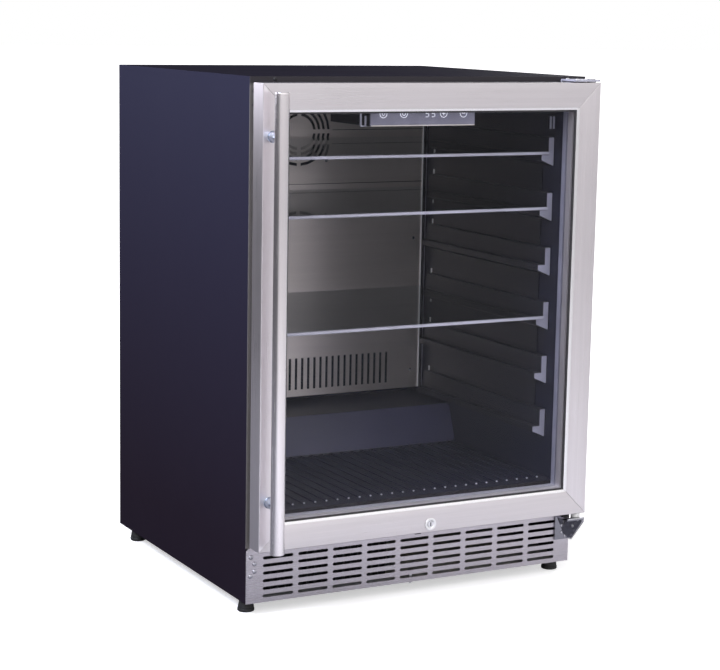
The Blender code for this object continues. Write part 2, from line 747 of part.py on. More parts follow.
MACHINE_FLOOR = PAN_TOP + GAP
COMPRESSOR = (-150 * MM, DOOR_FRONT + 486 * MM, MACHINE_FLOOR)
CONDENSER_FAN = (-150 * MM, DOOR_FRONT + 130 * MM, 71 * MM)
TRAY = ((20 * MM, DOOR_FRONT + 420 * MM), (220 * MM, DOOR_FRONT + 560 * MM))
TRAY_H = 28 * MM


def compressor():
    """Welded pot on a cross plate."""
    x, y, floor = COMPRESSOR
    can = lathe_mesh(dome_profile(68 * MM, 160 * MM), COMPRESSOR, (0, 0, 1), 24)
    pot = smooth(add_object("compressor", can, MOTOR))
    half_x, half_y, rise, rail = 85 * MM, 40 * MM, 14 * MM, 4 * MM
    low = (x - half_x, y - half_y, floor + rise)
    unite(pot, box_mesh(low, (x + half_x, y + half_y, floor + rise + rail)), label="foot_plate")


def condenser():
    """Finned coil behind the kick plate, with its fan, shroud and motor."""
    low, high = (-265 * MM, DOOR_FRONT + 66 * MM, MACHINE_FLOOR), (-35 * MM, DOOR_FRONT + 104 * MM, 116 * MM)
    finned_coil("condenser_coil", low, high, 18)
    x, y, z = CONDENSER_FAN
    half = 52 * MM
    shroud = [rectangle((x - half, MACHINE_FLOOR), (x + half, 118 * MM)), circle((x, z), 42 * MM, 24)]
    add_object("condenser_fan_shroud", prism_mesh(shroud, y - 16 * MM, y - 12 * MM, along_y), BLACK)
    fan("condenser_fan", CONDENSER_FAN, 15 * MM, 39 * MM)
    start, stop = (x, y + FAN_HUB / 2 + MOTOR_GAP, z), (x, y + 40 * MM, z)
    motor = add_object("condenser_fan_motor", cylinder_mesh(19 * MM, start, stop, 20), ZINC)
    low, high = (x - 8 * MM, y + 20 * MM, MACHINE_FLOOR), (x + 8 * MM, y + 24 * MM, z)
    unite(motor, box_mesh(low, high), label="stand")


def drip_tray():
    """Open tray beside the compressor, where the drain water evaporates."""
    (x0, y0), (x1, y1) = TRAY
    floor, wall, rim = MACHINE_FLOOR, 2 * MM, MACHINE_FLOOR + TRAY_H
    tray = box("drip_tray", (x0, y0, floor), (x1, y1, rim), BLACK)
    hollow = box_mesh((x0 + wall, y0 + wall, floor + wall), (x1 - wall, y1 - wall, rim + THROUGH))
    cut(tray, hollow, label="hollow")


# ---------------------------------------------------------------- hinges
TOP_PLATE = (819.5 * MM, 822.5 * MM)
BOTTOM_PLATE = (101 * MM, 105 * MM)
LEG_FRONT = CASE_FRONT - 2.8 * MM
LEG_BACK = CASE_FRONT - GAP
PIN_HEAD_R = 6.5 * MM
PIN_HEAD_T = 1.2 * MM
PIN_DEPTH = 12 * MM  # how far a pin reaches into the door


def upright_bore(radius, low, high):
    """A cutter along the hinge's axis."""
    return cylinder_mesh(radius, (PIN_X, PIN_Y, low), (PIN_X, PIN_Y, high), 16)


def hinge_pin(name, profile):
    smooth(add_object(name, lathe_mesh(profile, (PIN_X, PIN_Y, 0), (0, 0, 1), 16), CHROME))


def top_hinge():
    """Bent plate on the face of the case, its flat tongue over the door."""
    low, high = TOP_PLATE
    front, drop = DOOR_FRONT + 2 * MM, 808.8 * MM
    outline = [
        (front, low), (LEG_FRONT, low), (LEG_FRONT, drop), (LEG_BACK, drop), (LEG_BACK, high), (front, high),
    ]
    bracket = add_object("top_hinge_bracket", prism_mesh([outline], 250 * MM, HALF - GAP, along_x), CHROME)
    cut(bracket, upright_bore(PIN_HOLE_R, low - THROUGH, high + THROUGH), label="pin_hole")
    head = high + GAP
    crown, tip = head + PIN_HEAD_T, DOOR_TOP - PIN_DEPTH
    hinge_pin("top_hinge_pin", [
        (0, tip), (PIN_R, tip), (PIN_R, head), (PIN_HEAD_R, head), (PIN_HEAD_R, crown), (0, crown),
    ])


def bottom_hinge():
    """Chromed corner bracket on the kick plate: tongue under the door, back plate and gusset."""
    low, high = BOTTOM_PLATE
    side = HALF - GAP
    front, foot, inset = DOOR_FRONT + 1 * MM, 61 * MM, 0.5 * MM
    bracket = box("bottom_hinge_bracket", (264 * MM, front, low), (side, LEG_BACK, high), CHROME)
    back_low = (268 * MM, LEG_FRONT, foot - 2 * MM)
    back = box_mesh(back_low, (side - 0.1 * MM, LEG_BACK - 0.1 * MM, high - 1 * MM))
    web_top = high - 1.5 * MM
    web = [
        (front + inset, web_top), (front + inset, 97 * MM), (DOOR_FRONT + 33 * MM, foot),
        (LEG_BACK - inset, foot), (LEG_BACK - inset, web_top),
    ]
    gusset = prism_mesh([web], side - 3 * MM, side - 0.2 * MM, along_x)
    unite(bracket, back, label="back_plate")
    unite(bracket, gusset, label="gusset")
    cut(bracket, upright_bore(PIN_HOLE_R, low - THROUGH, high + THROUGH), label="pin_hole")
    head = low - GAP
    crown, tip = head - PIN_HEAD_T, DOOR_BOTTOM + PIN_DEPTH + 1 * MM
    hinge_pin("bottom_hinge_pin", [
        (0, crown), (PIN_HEAD_R, crown), (PIN_HEAD_R, head), (PIN_R, head), (PIN_R, tip), (0, tip),
    ])


# ---------------------------------------------------------------- door
def member_loops():
    """Section of a door frame member in (distance from its outer edge, depth): a folded
    tube with a lip that holds the glass, its inner edge bevelled."""
    lip = 5.7 * MM
    outer = [
        (0, DOOR_T), (0, 0.8 * MM), (0.8 * MM, 0), (MEMBER - 6 * MM, 0), (MEMBER, 4.2 * MM), (MEMBER, lip),
        (REBATE, lip), (REBATE, DOOR_T),
    ]
    w = TUBE_WALL
    return [outer, rectangle((w, w), (REBATE - w, DOOR_T - w))]


def door_member(name, place, parent):
    return add_object(name, prism_mesh(member_loops(), 0, 1, place), BRUSHED, parent=parent)


def door_frame(parent):
    """Four mitred members; each end is cut back by a point's distance from the outer edge."""
    mitre = 0.15 * MM
    x, low, high = HALF, DOOR_BOTTOM, DOOR_TOP

    def upright(side):
        def place(u, v, t):
            start, stop = low + u + mitre, high - u - mitre
            return (side * (x - u), DOOR_FRONT + v, start + (stop - start) * t)

        return place

    def rail(edge, direction):
        def place(u, v, t):
            reach = x - u - mitre
            return (reach * (2 * t - 1), DOOR_FRONT + v, edge + direction * u)

        return place

    door_member("door_stile_left", upright(-1), parent)
    right = door_member("door_stile_right", upright(1), parent)
    top = door_member("door_rail_top", rail(high, -1), parent)
    bottom = door_member("door_rail_bottom", rail(low, 1), parent)

    def bush_hole(edge, direction):
        ends = sorted((edge + direction * THROUGH, edge - direction * BUSH_POCKET))
        return upright_bore(BUSH_HOLE_R, *ends)

    cut(top, bush_hole(high, 1), label="bush_hole")
    cut(bottom, bush_hole(low, -1), label="bush_hole")
    cut(right, bush_hole(high, 1), bush_hole(low, -1), label="bush_holes")
    start, stop = (LOCK_X, DOOR_FRONT - THROUGH, LOCK_Z), (LOCK_X, DOOR_FRONT + DOOR_T + THROUGH, LOCK_Z)
    cut(bottom, cylinder_mesh(LOCK_BARREL_R + GAP, start, stop), label="lock_hole")


def door_bush(name, edge, end, washer, parent):
    """Nylon bush that turns on a pin: a sleeve from end to edge, and a thrust washer beyond."""
    profile = [
        (PIN_HOLE_R, end), (BUSH_R, end), (BUSH_R, edge), (BUSH_FLANGE_R, edge), (BUSH_FLANGE_R, washer),
        (PIN_HOLE_R, washer),
    ]
    smooth(add_object(name, lathe_mesh(profile, (PIN_X, PIN_Y, 0), (0, 0, 1), 16), NYLON, parent=parent))


def door_bushes(parent):
    top, bottom = DOOR_TOP + GAP, DOOR_BOTTOM - GAP
    door_bush("door_bush_top", top, DOOR_TOP - BUSH_DEPTH, TOP_PLATE[0] - GAP, parent)
    door_bush("door_bush_bottom", bottom, DOOR_BOTTOM + BUSH_DEPTH, BOTTOM_PLATE[1] + GAP, parent)


def inset_ring(outer, inner, y0, y1):
    """Section corners of a plain ring that follows the door's outline between two insets."""
    def corner(inset, y):
        return (HALF - inset, DOOR_BOTTOM + inset, DOOR_TOP - inset, y)

    return [corner(outer, y0), corner(inner, y0), corner(inner, y1), corner(outer, y1)]


GLASS_INSET = REBATE + GAP


def door_glazing(parent):
    """Sealed double glazing: two panes with a spacer between them."""
    half = HALF - GLASS_INSET
    low, high = DOOR_BOTTOM + GLASS_INSET, DOOR_TOP - GLASS_INSET
    for name, start in (("door_glass_outer", 6 * MM), ("door_glass_inner", 22 * MM)):
        y = DOOR_FRONT + start
        box(name, (-half, y, low), (half, y + 4 * MM, high), GLASS, parent)
    ring = inset_ring(GLASS_INSET, MEMBER + 1 * MM, DOOR_FRONT + 10.3 * MM, DOOR_FRONT + 21.7 * MM)
    add_object("glass_spacer", ring_mesh(ring), SPACER, parent=parent)


def door_back(parent):
    """Plastic frame that clamps the glazing from behind, and the magnetic gasket on it."""
    border = MEMBER + 1.2 * MM
    inner = (HALF - border, DOOR_BOTTOM + border, DOOR_TOP - border)
    rebate = (HALF - GLASS_INSET, DOOR_BOTTOM + GLASS_INSET, DOOR_TOP - GLASS_INSET)
    flange = (284 * MM, 138.5 * MM, 811 * MM)
    start, seat, back = DOOR_FRONT + 26.3 * MM, DOOR_FRONT + DOOR_T + GAP, DOOR_FRONT + 35.5 * MM
    clamp = [
        (*rebate, start), (*inner, start), (*inner, back), (*flange, back), (*flange, seat),
        (*rebate, seat),
    ]
    add_object("door_inner_frame", ring_mesh(clamp), BLACK, parent=parent)
    outer = (281 * MM, 141.5 * MM, 808 * MM)
    inside = (266.5 * MM, 156 * MM, 793.5 * MM)
    base, waist, bulb, face = back + GAP, DOOR_FRONT + 39.5 * MM, DOOR_FRONT + 42 * MM, CASE_FRONT - GAP

    def toward(fraction):
        return tuple(a + (b - a) * fraction for a, b in zip(outer, inside))

    bellows = [
        (*outer, base), (*toward(0.22), waist), (*outer, bulb), (*outer, face),
        (*inside, face), (*inside, bulb), (*toward(0.78), waist), (*inside, base),
    ]
    add_object("door_gasket", ring_mesh(bellows), RUBBER, parent=parent)


HANDLE_X = -281 * MM
HANDLE_Y = DOOR_FRONT - 30 * MM
HANDLE_R = 11 * MM
HANDLE_ENDS = (117 * MM, 806 * MM)
POST_R = 8 * MM
POSTS = (("bottom", 190 * MM), ("top", 740 * MM))


def handle(parent):
    """Long tubular handle on two posts; the tube is open underneath."""
    low, high = HANDLE_ENDS
    wall = 1.5 * MM
    soft = 0.6 * MM
    tube = [
        (HANDLE_R - wall, low), (HANDLE_R - soft, low), (HANDLE_R, low + soft), (HANDLE_R, high - soft),
        (HANDLE_R - soft, high), (0, high), (0, high - wall), (HANDLE_R - wall, high - wall),
    ]
    bar = lathe_mesh(tube, (HANDLE_X, HANDLE_Y, 0), (0, 0, 1), 20)
    smooth(add_object("handle_bar", bar, BRUSHED, parent=parent))
    for word, z in POSTS:
        mesh = cylinder_mesh(POST_R, (HANDLE_X, HANDLE_Y, z), (HANDLE_X, DOOR_FRONT - GAP, z), 20)
        post = smooth(add_object(f"handle_post_{word}", mesh, BRUSHED, parent=parent))
        ends = [(HANDLE_X, HANDLE_Y, z + side * (POST_R + THROUGH)) for side in (-1, 1)]
        cut(post, cylinder_mesh(HANDLE_R + GAP, *ends, 20), label="saddle")


def lock(parent):
    """Barrel lock in the bottom rail. Its plug carries a T-shaped cam that passes the slot
    in the front frame lying flat, and holds behind it once turned upright."""
    axis = (0, 1, 0)
    place = (LOCK_X, DOOR_FRONT, LOCK_Z)
    bore, rim, face, end = 5.5 * MM, 10 * MM, -1.8 * MM, 34.5 * MM
    housing = [
        (bore, face), (9.2 * MM, face), (rim, -1.2 * MM), (rim, -GAP), (LOCK_BARREL_R, -GAP),
        (LOCK_BARREL_R, end), (bore, end),
    ]
    smooth(add_object("lock_housing", lathe_mesh(housing, place, axis, 24), CHROME, parent=parent))
    turn = joint_empty("lock_axis", place, parent)
    stem, cam_start, cam_end = 3 * MM, 48 * MM, 51 * MM
    core, inset, tail = 5.1 * MM, -1.4 * MM, cam_end - 0.5 * MM
    plug = [(0, inset), (core, inset), (core, end), (stem, end), (stem, tail), (0, tail)]
    mesh = lathe_mesh(plug, place, axis, 20)
    barrel = smooth(add_object("lock_plug", mesh, CHROME, origin=place, parent=turn))
    cam = box_mesh((-10 * MM, cam_start, -2 * MM), (10 * MM, cam_end, 2 * MM))
    keyway = box_mesh((-0.8 * MM, -5 * MM, -3 * MM), (0.8 * MM, 8 * MM, 3 * MM))
    for label, helper, operation in (("cam", cam, "UNION"), ("keyway", keyway, "DIFFERENCE")):
        helper.transform(Matrix.Translation(place))
        boolean(barrel, helper, operation, label)


def door():
    hinge = joint_empty("door_hinge", (PIN_X, PIN_Y, 0))
    door_frame(hinge)
    door_bushes(hinge)
    door_glazing(hinge)
    door_back(hinge)
    handle(hinge)
    lock(hinge)


outer_panels()
front_frame()
insulation_foam()
inner_liner()
kick_plate()
base_pan()
feet()
rear_grille()
power_inlet()
shelf_racks()
shelves()
duct_panel()
cold_side()
controls()
lamp()
temperature_probe()
door_switch()
compressor()
condenser()
drip_tray()
top_hinge()
bottom_hinge()
door()
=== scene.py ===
"""Looks of the undercounter refrigerator: finishes, small fittings, light and camera.

Everything is in metres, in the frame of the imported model. The front faces -Y, +X is the
right-hand side, and "depth" is a distance behind the front face of the door.
"""

import json
import math

import bmesh
import bpy
from mathutils import Matrix, Vector

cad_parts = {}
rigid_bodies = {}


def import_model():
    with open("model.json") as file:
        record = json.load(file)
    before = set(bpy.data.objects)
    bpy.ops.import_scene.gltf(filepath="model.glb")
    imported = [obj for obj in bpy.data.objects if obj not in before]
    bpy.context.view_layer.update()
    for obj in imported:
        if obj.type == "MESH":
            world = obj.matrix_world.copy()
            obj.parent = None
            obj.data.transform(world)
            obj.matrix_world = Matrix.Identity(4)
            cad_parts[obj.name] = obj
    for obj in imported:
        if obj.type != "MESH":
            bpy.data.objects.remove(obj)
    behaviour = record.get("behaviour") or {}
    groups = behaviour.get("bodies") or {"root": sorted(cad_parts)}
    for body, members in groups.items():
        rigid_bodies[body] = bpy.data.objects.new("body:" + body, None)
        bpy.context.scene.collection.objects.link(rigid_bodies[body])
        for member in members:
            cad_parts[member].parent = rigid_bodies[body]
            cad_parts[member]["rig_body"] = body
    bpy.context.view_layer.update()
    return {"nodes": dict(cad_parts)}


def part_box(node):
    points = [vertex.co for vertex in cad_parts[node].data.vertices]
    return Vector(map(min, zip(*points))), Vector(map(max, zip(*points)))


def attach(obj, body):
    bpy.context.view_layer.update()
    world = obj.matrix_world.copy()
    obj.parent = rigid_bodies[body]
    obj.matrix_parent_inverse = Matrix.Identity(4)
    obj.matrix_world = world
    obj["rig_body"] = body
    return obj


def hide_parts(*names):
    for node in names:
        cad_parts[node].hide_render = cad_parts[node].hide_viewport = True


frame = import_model()

MM = 0.001
NODES = frame["nodes"]

DOOR_LOW, DOOR_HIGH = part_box("door_rail_top")
FRONT = DOOR_LOW.y
DOOR_TOP = DOOR_HIGH.z
DOOR_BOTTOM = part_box("door_rail_bottom")[0].z
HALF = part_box("front_frame")[1].x
CASE_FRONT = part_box("front_frame")[0].y
SHARP = math.radians(38)  # edges that turn by more than this are kept sharp, or rounded off

UP = (0, 0, 1)
DOWN = (0, 0, -1)
TO_FRONT = (0, -1, 0)
TO_BACK = (0, 1, 0)
TO_LEFT = (-1, 0, 0)


def mm(*sizes):
    """Millimetres in metres."""
    return tuple(size * MM for size in sizes)


def scaled(outline):
    """An outline that is given in millimetres, in metres."""
    return [mm(*point) for point in outline]


def depth(millimetres):
    """The Y of a place that far behind the door's front face."""
    return FRONT + millimetres * MM


def middle(node):
    """The middle of a CAD node's box."""
    low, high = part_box(node)
    return Vector((a + b) / 2 for a, b in zip(low, high))


def added(name, data):
    """A new object in the scene."""
    made = bpy.data.objects.new(name, data)
    bpy.context.scene.collection.objects.link(made)
    return made


# -------- camera
CAMERA_PLACE = (-1.5182, -2.8444, 0.9243)
CAMERA_YAW = math.radians(28.297)  # from +Y towards +X
CAMERA_PITCH = math.radians(-9.449)
CAMERA_ROLL = math.radians(1.066)
CAMERA_LENS = 97.46


def add_camera():
    data = bpy.data.cameras.new("camera")
    data.lens = CAMERA_LENS
    camera = added("camera", data)
    forward = Vector((
        math.sin(CAMERA_YAW) * math.cos(CAMERA_PITCH),
        math.cos(CAMERA_YAW) * math.cos(CAMERA_PITCH),
        math.sin(CAMERA_PITCH),
    ))
    right = forward.cross(Vector(UP)).normalized()
    up = right.cross(forward)
    across = math.cos(CAMERA_ROLL) * right + math.sin(CAMERA_ROLL) * up
    upward = math.cos(CAMERA_ROLL) * up - math.sin(CAMERA_ROLL) * right
    turn = Matrix((across, upward, -forward)).transposed().to_4x4()
    camera.matrix_world = Matrix.Translation(CAMERA_PLACE) @ turn
    bpy.context.scene.camera = camera


# -------- shader building
NOISE_ROUGHNESS = 0.55


class Shading:
    """The node tree of a world or a material."""

    def __init__(self, owner):
        owner.use_nodes = True
        self.tree = owner.node_tree

    def add(self, kind, inputs=(), **settings):
        node = self.tree.nodes.new(kind)
        for key, value in settings.items():
            setattr(node, key, value)
        for key, value in dict(inputs).items():
            self.feed(node.inputs[key], value)
        return node

    def feed(self, socket, value):
        if isinstance(value, bpy.types.NodeSocket):
            self.tree.links.new(value, socket)
        elif socket.type == "RGBA" and len(value) == 3:
            socket.default_value = (*value, 1.0)
        else:
            socket.default_value = value

    def span(self, value, low, high, source=(0.3, 0.7)):
        """value, from the source range, spread over low to high."""
        inputs = {0: value, 1: source[0], 2: source[1], 3: low, 4: high}
        return self.add("ShaderNodeMapRange", inputs).outputs[0]

    def maths(self, operation, *values):
        node = self.add("ShaderNodeMath", operation=operation)
        for socket, value in zip(node.inputs, values):
            self.feed(socket, value)
        return node.outputs[0]

    def mix(self, factor, first, second):
        """A colour between two others."""
        node = self.add("ShaderNodeMix", data_type="RGBA")
        for index, value in ((0, factor), (6, first), (7, second)):
            self.feed(node.inputs[index], value)
        return node.outputs[2]


class Look(Shading):
    """A procedural material, with the record's slot that it belongs to."""

    def __init__(self, name, slot):
        self.slot = slot
        self.material = bpy.data.materials.new(name)
        super().__init__(self.material)
        self.shader = self.tree.nodes["Principled BSDF"]
        self.place = self.add("ShaderNodeTexCoord").outputs["Object"]

    def set(self, **values):
        """Feeds the main shader's sockets, named with underscores for spaces."""
        for key, value in values.items():
            self.feed(self.shader.inputs[key.replace("_", " ")], value)

    def glow(self, colour, strength):
        self.set(Emission_Color=colour, Emission_Strength=strength)

    def noise(self, scale, detail, stretch=None):
        """Cloudy noise, its place multiplied by stretch along each axis."""
        place = self.place
        if stretch:
            place = self.add("ShaderNodeMapping", {"Vector": place, "Scale": stretch}).outputs[0]
        inputs = {"Vector": place, "Scale": scale, "Detail": detail, "Roughness": NOISE_ROUGHNESS}
        return self.add("ShaderNodeTexNoise", inputs).outputs[0]

    def cells(self, scale, output):
        node = self.add("ShaderNodeTexVoronoi", {"Vector": self.place, "Scale": scale})
        return node.outputs[output]

    def bump(self, height, distance, strength):
        inputs = {"Height": height, "Distance": distance, "Strength": strength}
        return self.add("ShaderNodeBump", inputs).outputs[0]

    def axes(self):
        """X, Y and Z of the place."""
        return tuple(self.add("ShaderNodeSeparateXYZ", {0: self.place}).outputs)


def tint(colour, factor):
    return tuple(channel * factor for channel in colour)


def brushed(name, slot, colour, along, roughness=0.30, contrast=0.05, metallic=1.0):
    """Satin-ground metal whose scratches run along one axis (0, 1 or 2)."""
    look = Look(name, slot)
    fine = tuple(12 if axis == along else 1500 for axis in range(3))
    broad = tuple(1.2 if axis == along else 90 for axis in range(3))
    scratches = look.noise(1.0, 4, fine)
    bands = look.noise(1.0, 3, broad)
    cloud = look.noise(5.0, 3)
    tone = look.mix(look.span(bands, 0, 1), tint(colour, 1 - contrast), tint(colour, 1 + contrast * 0.6))
    tone = look.mix(look.span(scratches, 0, 0.35), tone, tint(colour, 0.86))
    look.set(Base_Color=tone, Metallic=metallic)
    rough = look.span(scratches, roughness - 0.04, roughness + 0.07)
    look.set(Roughness=look.maths("ADD", rough, look.span(cloud, -0.02, 0.03)))
    look.set(Normal=look.bump(scratches, 0.00001, min(0.6, contrast * 10)))
    tangent = look.add("ShaderNodeTangent", direction_type="RADIAL", axis="Z").outputs[0]
    look.set(Tangent=tangent, Anisotropic=0.7, Anisotropic_Rotation=0.0 if along == 2 else 0.25)
    return look


def coat(name, slot, colour, cloud, contrast, rough):
    """A skin whose colour and roughness drift with a cloudy noise of a (scale, detail).

    colour is None where it is fed afterwards, and rough holds the lowest and highest roughness.
    """
    look = Look(name, slot)
    drift = look.noise(*cloud)
    if colour:
        pair = tint(colour, 1 - contrast), tint(colour, 1 + contrast)
        look.set(Base_Color=look.mix(look.span(drift, 0, 1), *pair))
    look.set(Roughness=look.span(drift, *rough))
    return look


def painted(name, slot, colour, roughness, peel=0.35, specular=0.5):
    """Powder-coated sheet with a fine orange-peel skin."""
    look = coat(name, slot, colour, (6.0, 4), 0.12, (roughness - 0.03, roughness + 0.05))
    look.set(Specular_IOR_Level=specular, Normal=look.bump(look.noise(900.0, 2), 0.00004, peel))
    return look


def moulded(name, slot, colour, roughness, grain=1400.0, relief=0.00004):
    """Injection-moulded plastic with a spark-eroded grain."""
    look = coat(name, slot, colour, (14.0, 3), 0.14, (roughness - 0.05, roughness + 0.06))
    look.set(Normal=look.bump(look.cells(grain, "Distance"), relief, 0.5))
    return look


def drawn_plastic(name, slot, colour, roughness):
    """Vacuum-formed sheet: smooth, with the slow waves of a stretched skin."""
    look = coat(name, slot, colour, (7.0, 3), 0.10, (roughness - 0.04, roughness + 0.04))
    look.set(Normal=look.bump(look.noise(22.0, 1), 0.0002, 0.2))
    return look


def polished(name, slot, colour, roughness=0.1):
    """Plated metal with faint swirl marks and a few duller patches."""
    look = Look(name, slot)
    swirl = look.noise(220.0, 4)
    cloud = look.noise(35.0, 2)
    look.set(Base_Color=look.mix(look.span(cloud, 0, 1), tint(colour, 0.93), colour), Metallic=1.0)
    look.set(Roughness=look.span(swirl, roughness - 0.03, roughness + 0.06))
    look.set(Normal=look.bump(swirl, 0.000008, 0.5))
    return look


def galvanised(name, slot, colour):
    """Zinc-coated sheet with its spangle."""
    look = Look(name, slot)
    spangle = look.cells(110.0, "Color")
    grey = look.add("ShaderNodeRGBToBW", {0: spangle}).outputs[0]
    dust = look.noise(8.0, 4)
    tone = look.mix(grey, tint(colour, 0.86), tint(colour, 1.10))
    look.set(Base_Color=look.mix(look.span(dust, 0, 0.4), tone, tint(colour, 0.8)), Metallic=0.6)
    look.set(Roughness=look.span(grey, 0.34, 0.56, (0, 1)))
    look.set(Normal=look.bump(look.noise(500.0, 2), 0.00003, 0.4))
    return look


GLASS_IOR = 1.5


def clear_sheet(name, slot, gloss, mirror, shade):
    """Flat glass that lamps shine through: see-through, with some of a Fresnel mirror on top.

    gloss is the colour of its reflections and shade that of what shows through. Only faces that
    light enters by are mirrors, so light never gets trapped in a sheet.
    """
    look = Look(name, slot)
    wipe = look.noise(9.0, 4)
    look.set(Base_Color=gloss, Metallic=1.0, Roughness=look.span(wipe, 0.02, 0.05))
    through = look.add("ShaderNodeBsdfTransparent", {"Color": shade})
    fresnel = look.add("ShaderNodeFresnel", {"IOR": GLASS_IOR}).outputs[0]
    entering = look.maths("SUBTRACT", 1.0, look.add("ShaderNodeNewGeometry").outputs["Backfacing"])
    share = look.maths("MULTIPLY", look.maths("MULTIPLY", fresnel, mirror), entering)
    both = look.add("ShaderNodeMixShader", {0: share, 1: through.outputs[0], 2: look.shader.outputs[0]})
    look.feed(look.tree.nodes["Material Output"].inputs["Surface"], both.outputs[0])
    return look


# -------- finishes
STEEL = (0.74, 0.705, 0.72)
POLISHED_STEEL = (0.86, 0.85, 0.86)
MEMBER, BEVEL = mm(45, 5.88)  # width of the door frame's members, and of their bevel at the glass
DOOR_MIDDLE = (DOOR_TOP + DOOR_BOTTOM) / 2


def door_steel(name, along, painted_light=1.0):
    """Brushed door metal, brightened by painted_light. The bevel round the glass is polished brighter and
    given a faint glow as a painted highlight.
    """
    look = brushed(name, "door_steel", tint(STEEL, painted_light), along)
    axes = look.axes()
    from_side = look.maths("SUBTRACT", HALF, look.maths("ABSOLUTE", axes[0]))
    height = look.maths("ABSOLUTE", look.maths("SUBTRACT", axes[2], DOOR_MIDDLE))
    from_end = look.maths("SUBTRACT", DOOR_TOP - DOOR_MIDDLE, height)
    bevel_polish_and_glint = look.maths("GREATER_THAN", look.maths("MINIMUM", from_side, from_end), MEMBER - BEVEL)
    satin = look.shader.inputs["Base Color"].links[0].from_socket
    rough = look.shader.inputs["Roughness"].links[0].from_socket
    look.set(Base_Color=look.mix(bevel_polish_and_glint, satin, POLISHED_STEEL))
    look.set(Roughness=look.maths("SUBTRACT", rough, look.maths("MULTIPLY", bevel_polish_and_glint, 0.08)))
    # painted highlight: the polished bevel glows a little
    look.glow(POLISHED_STEEL, look.maths("MULTIPLY", bevel_polish_and_glint, 0.06))
    return look


# painted light: the stiles are brightened copies of the door steel, the left one most, against the handle's
# shade
STEEL_UPRIGHT_LIT = door_steel("steel_upright_lit", 2, 1.09)
STEEL_LIT_BEHIND_HANDLE = door_steel("steel_lit_behind_handle", 2, 1.26)
STEEL_ACROSS = door_steel("steel_across", 0)
HANDLE_STEEL = brushed("handle_steel", "door_steel", (0.94, 0.90, 0.91), 2, 0.20, 0.03)
KICK_STEEL = brushed("kick_steel", "kick_steel", (0.56, 0.53, 0.57), 0, 0.27, 0.04)
DUCT_STEEL = brushed("duct_steel", "duct_steel", (0.98, 0.905, 0.87), 0, 0.35, 0.03)
DUCT_STEEL.glow((1.0, 0.94, 0.92), 0.017)  # painted glow standing in for scattered lamp light
CHROME = polished("chrome_plate", "chrome", (0.78, 0.78, 0.80))
SATIN_CHROME = polished("satin_chrome", "chrome", (0.93, 0.93, 0.93), 0.3)
# painted reflection: chrome darkened as though reflecting dark surroundings, for the bottom bracket
CHROME_PAINTED_DARK = polished("chrome_painted_dark", "chrome", (0.26, 0.26, 0.29), 0.06)
SCREW_STEEL = polished("screw_steel", "chrome", (0.50, 0.50, 0.54), 0.22)
NAVY = painted("navy_paint", "case_navy", None, 0.55, 0.35, 0.02)
NAVY_PAINTED_LIGHT = NAVY.span(NAVY.axes()[2], 0.0, 1.0, (0.1, 0.8))  # painted light: a little lighter towards the top, darker towards the floor
NAVY.set(Base_Color=NAVY.mix(NAVY_PAINTED_LIGHT, (0.0163, 0.0115, 0.0191), (0.0256, 0.0252, 0.0457)))
# painted shade: a darker copy of the navy paint, for the top panel
NAVY_TOP_PAINTED_SHADE = painted("navy_top_painted_shade", "case_navy", (0.0115, 0.0098, 0.0178), 0.55, 0.35, 0.02)
FRAME_PAINT = painted("frame_paint", "frame_dark", None, 0.45, 0.35, 0.1)
FRAME_OUT = FRAME_PAINT.maths("ABSOLUTE", FRAME_PAINT.axes()[0])
FRAME_PAINTED_LIGHT = FRAME_PAINT.maths(
    "MULTIPLY",
    FRAME_PAINT.span(FRAME_OUT, 0.0, 1.0, (HALF - 14 * MM, HALF - 10 * MM)),
    FRAME_PAINT.span(FRAME_PAINT.axes()[2], 1.0, 0.0, (DOOR_TOP - 6 * MM, DOOR_TOP)),
)  # painted light: lighter along its two sides, up to the door's top
FRAME_PAINT.set(Base_Color=FRAME_PAINT.mix(FRAME_PAINTED_LIGHT, (0.036, 0.033, 0.037), (0.145, 0.136, 0.130)))
ZINC = galvanised("galvanised_sheet", "zinc_sheet", (0.62, 0.635, 0.65))
BLACK = moulded("black_plastic", "black_plastic", (0.018, 0.018, 0.020), 0.48)
LINER = drawn_plastic("liner_plastic", "liner", (0.018, 0.019, 0.040), 0.38)
RACK = drawn_plastic("rack_plastic", "liner", (0.026, 0.026, 0.036), 0.42)
# painted reflection: the posts' steel darkened and tinted blue as though reflecting the navy case
POST_STEEL_PAINTED_REFLECTION = polished("post_steel_painted_reflection", "door_steel", (0.36, 0.41, 0.50), 0.18)
GASKET = moulded("gasket_rubber", "rubber", (0.32, 0.295, 0.30), 0.62, 700.0)
FOOT_RUBBER = moulded("foot_rubber", "black_plastic", (0.012, 0.012, 0.013), 0.55, 500.0)
NYLON = moulded("bush_nylon", "nylon", (0.80, 0.80, 0.78), 0.40)
TRIM = moulded("trim_plastic", "trim", (0.60, 0.60, 0.70), 0.35)
# pale plastic; on the ledges' front faces and the duct's corner beads it stands in as painted light
PALE_TRIM_AND_PAINTED_LIGHT = moulded("rack_tip", "trim", (0.52, 0.52, 0.64), 0.40)
GLOWING_PALE_LINE = moulded("pale_line_painted_glow", "trim", (0.95, 0.95, 0.98), 0.45)
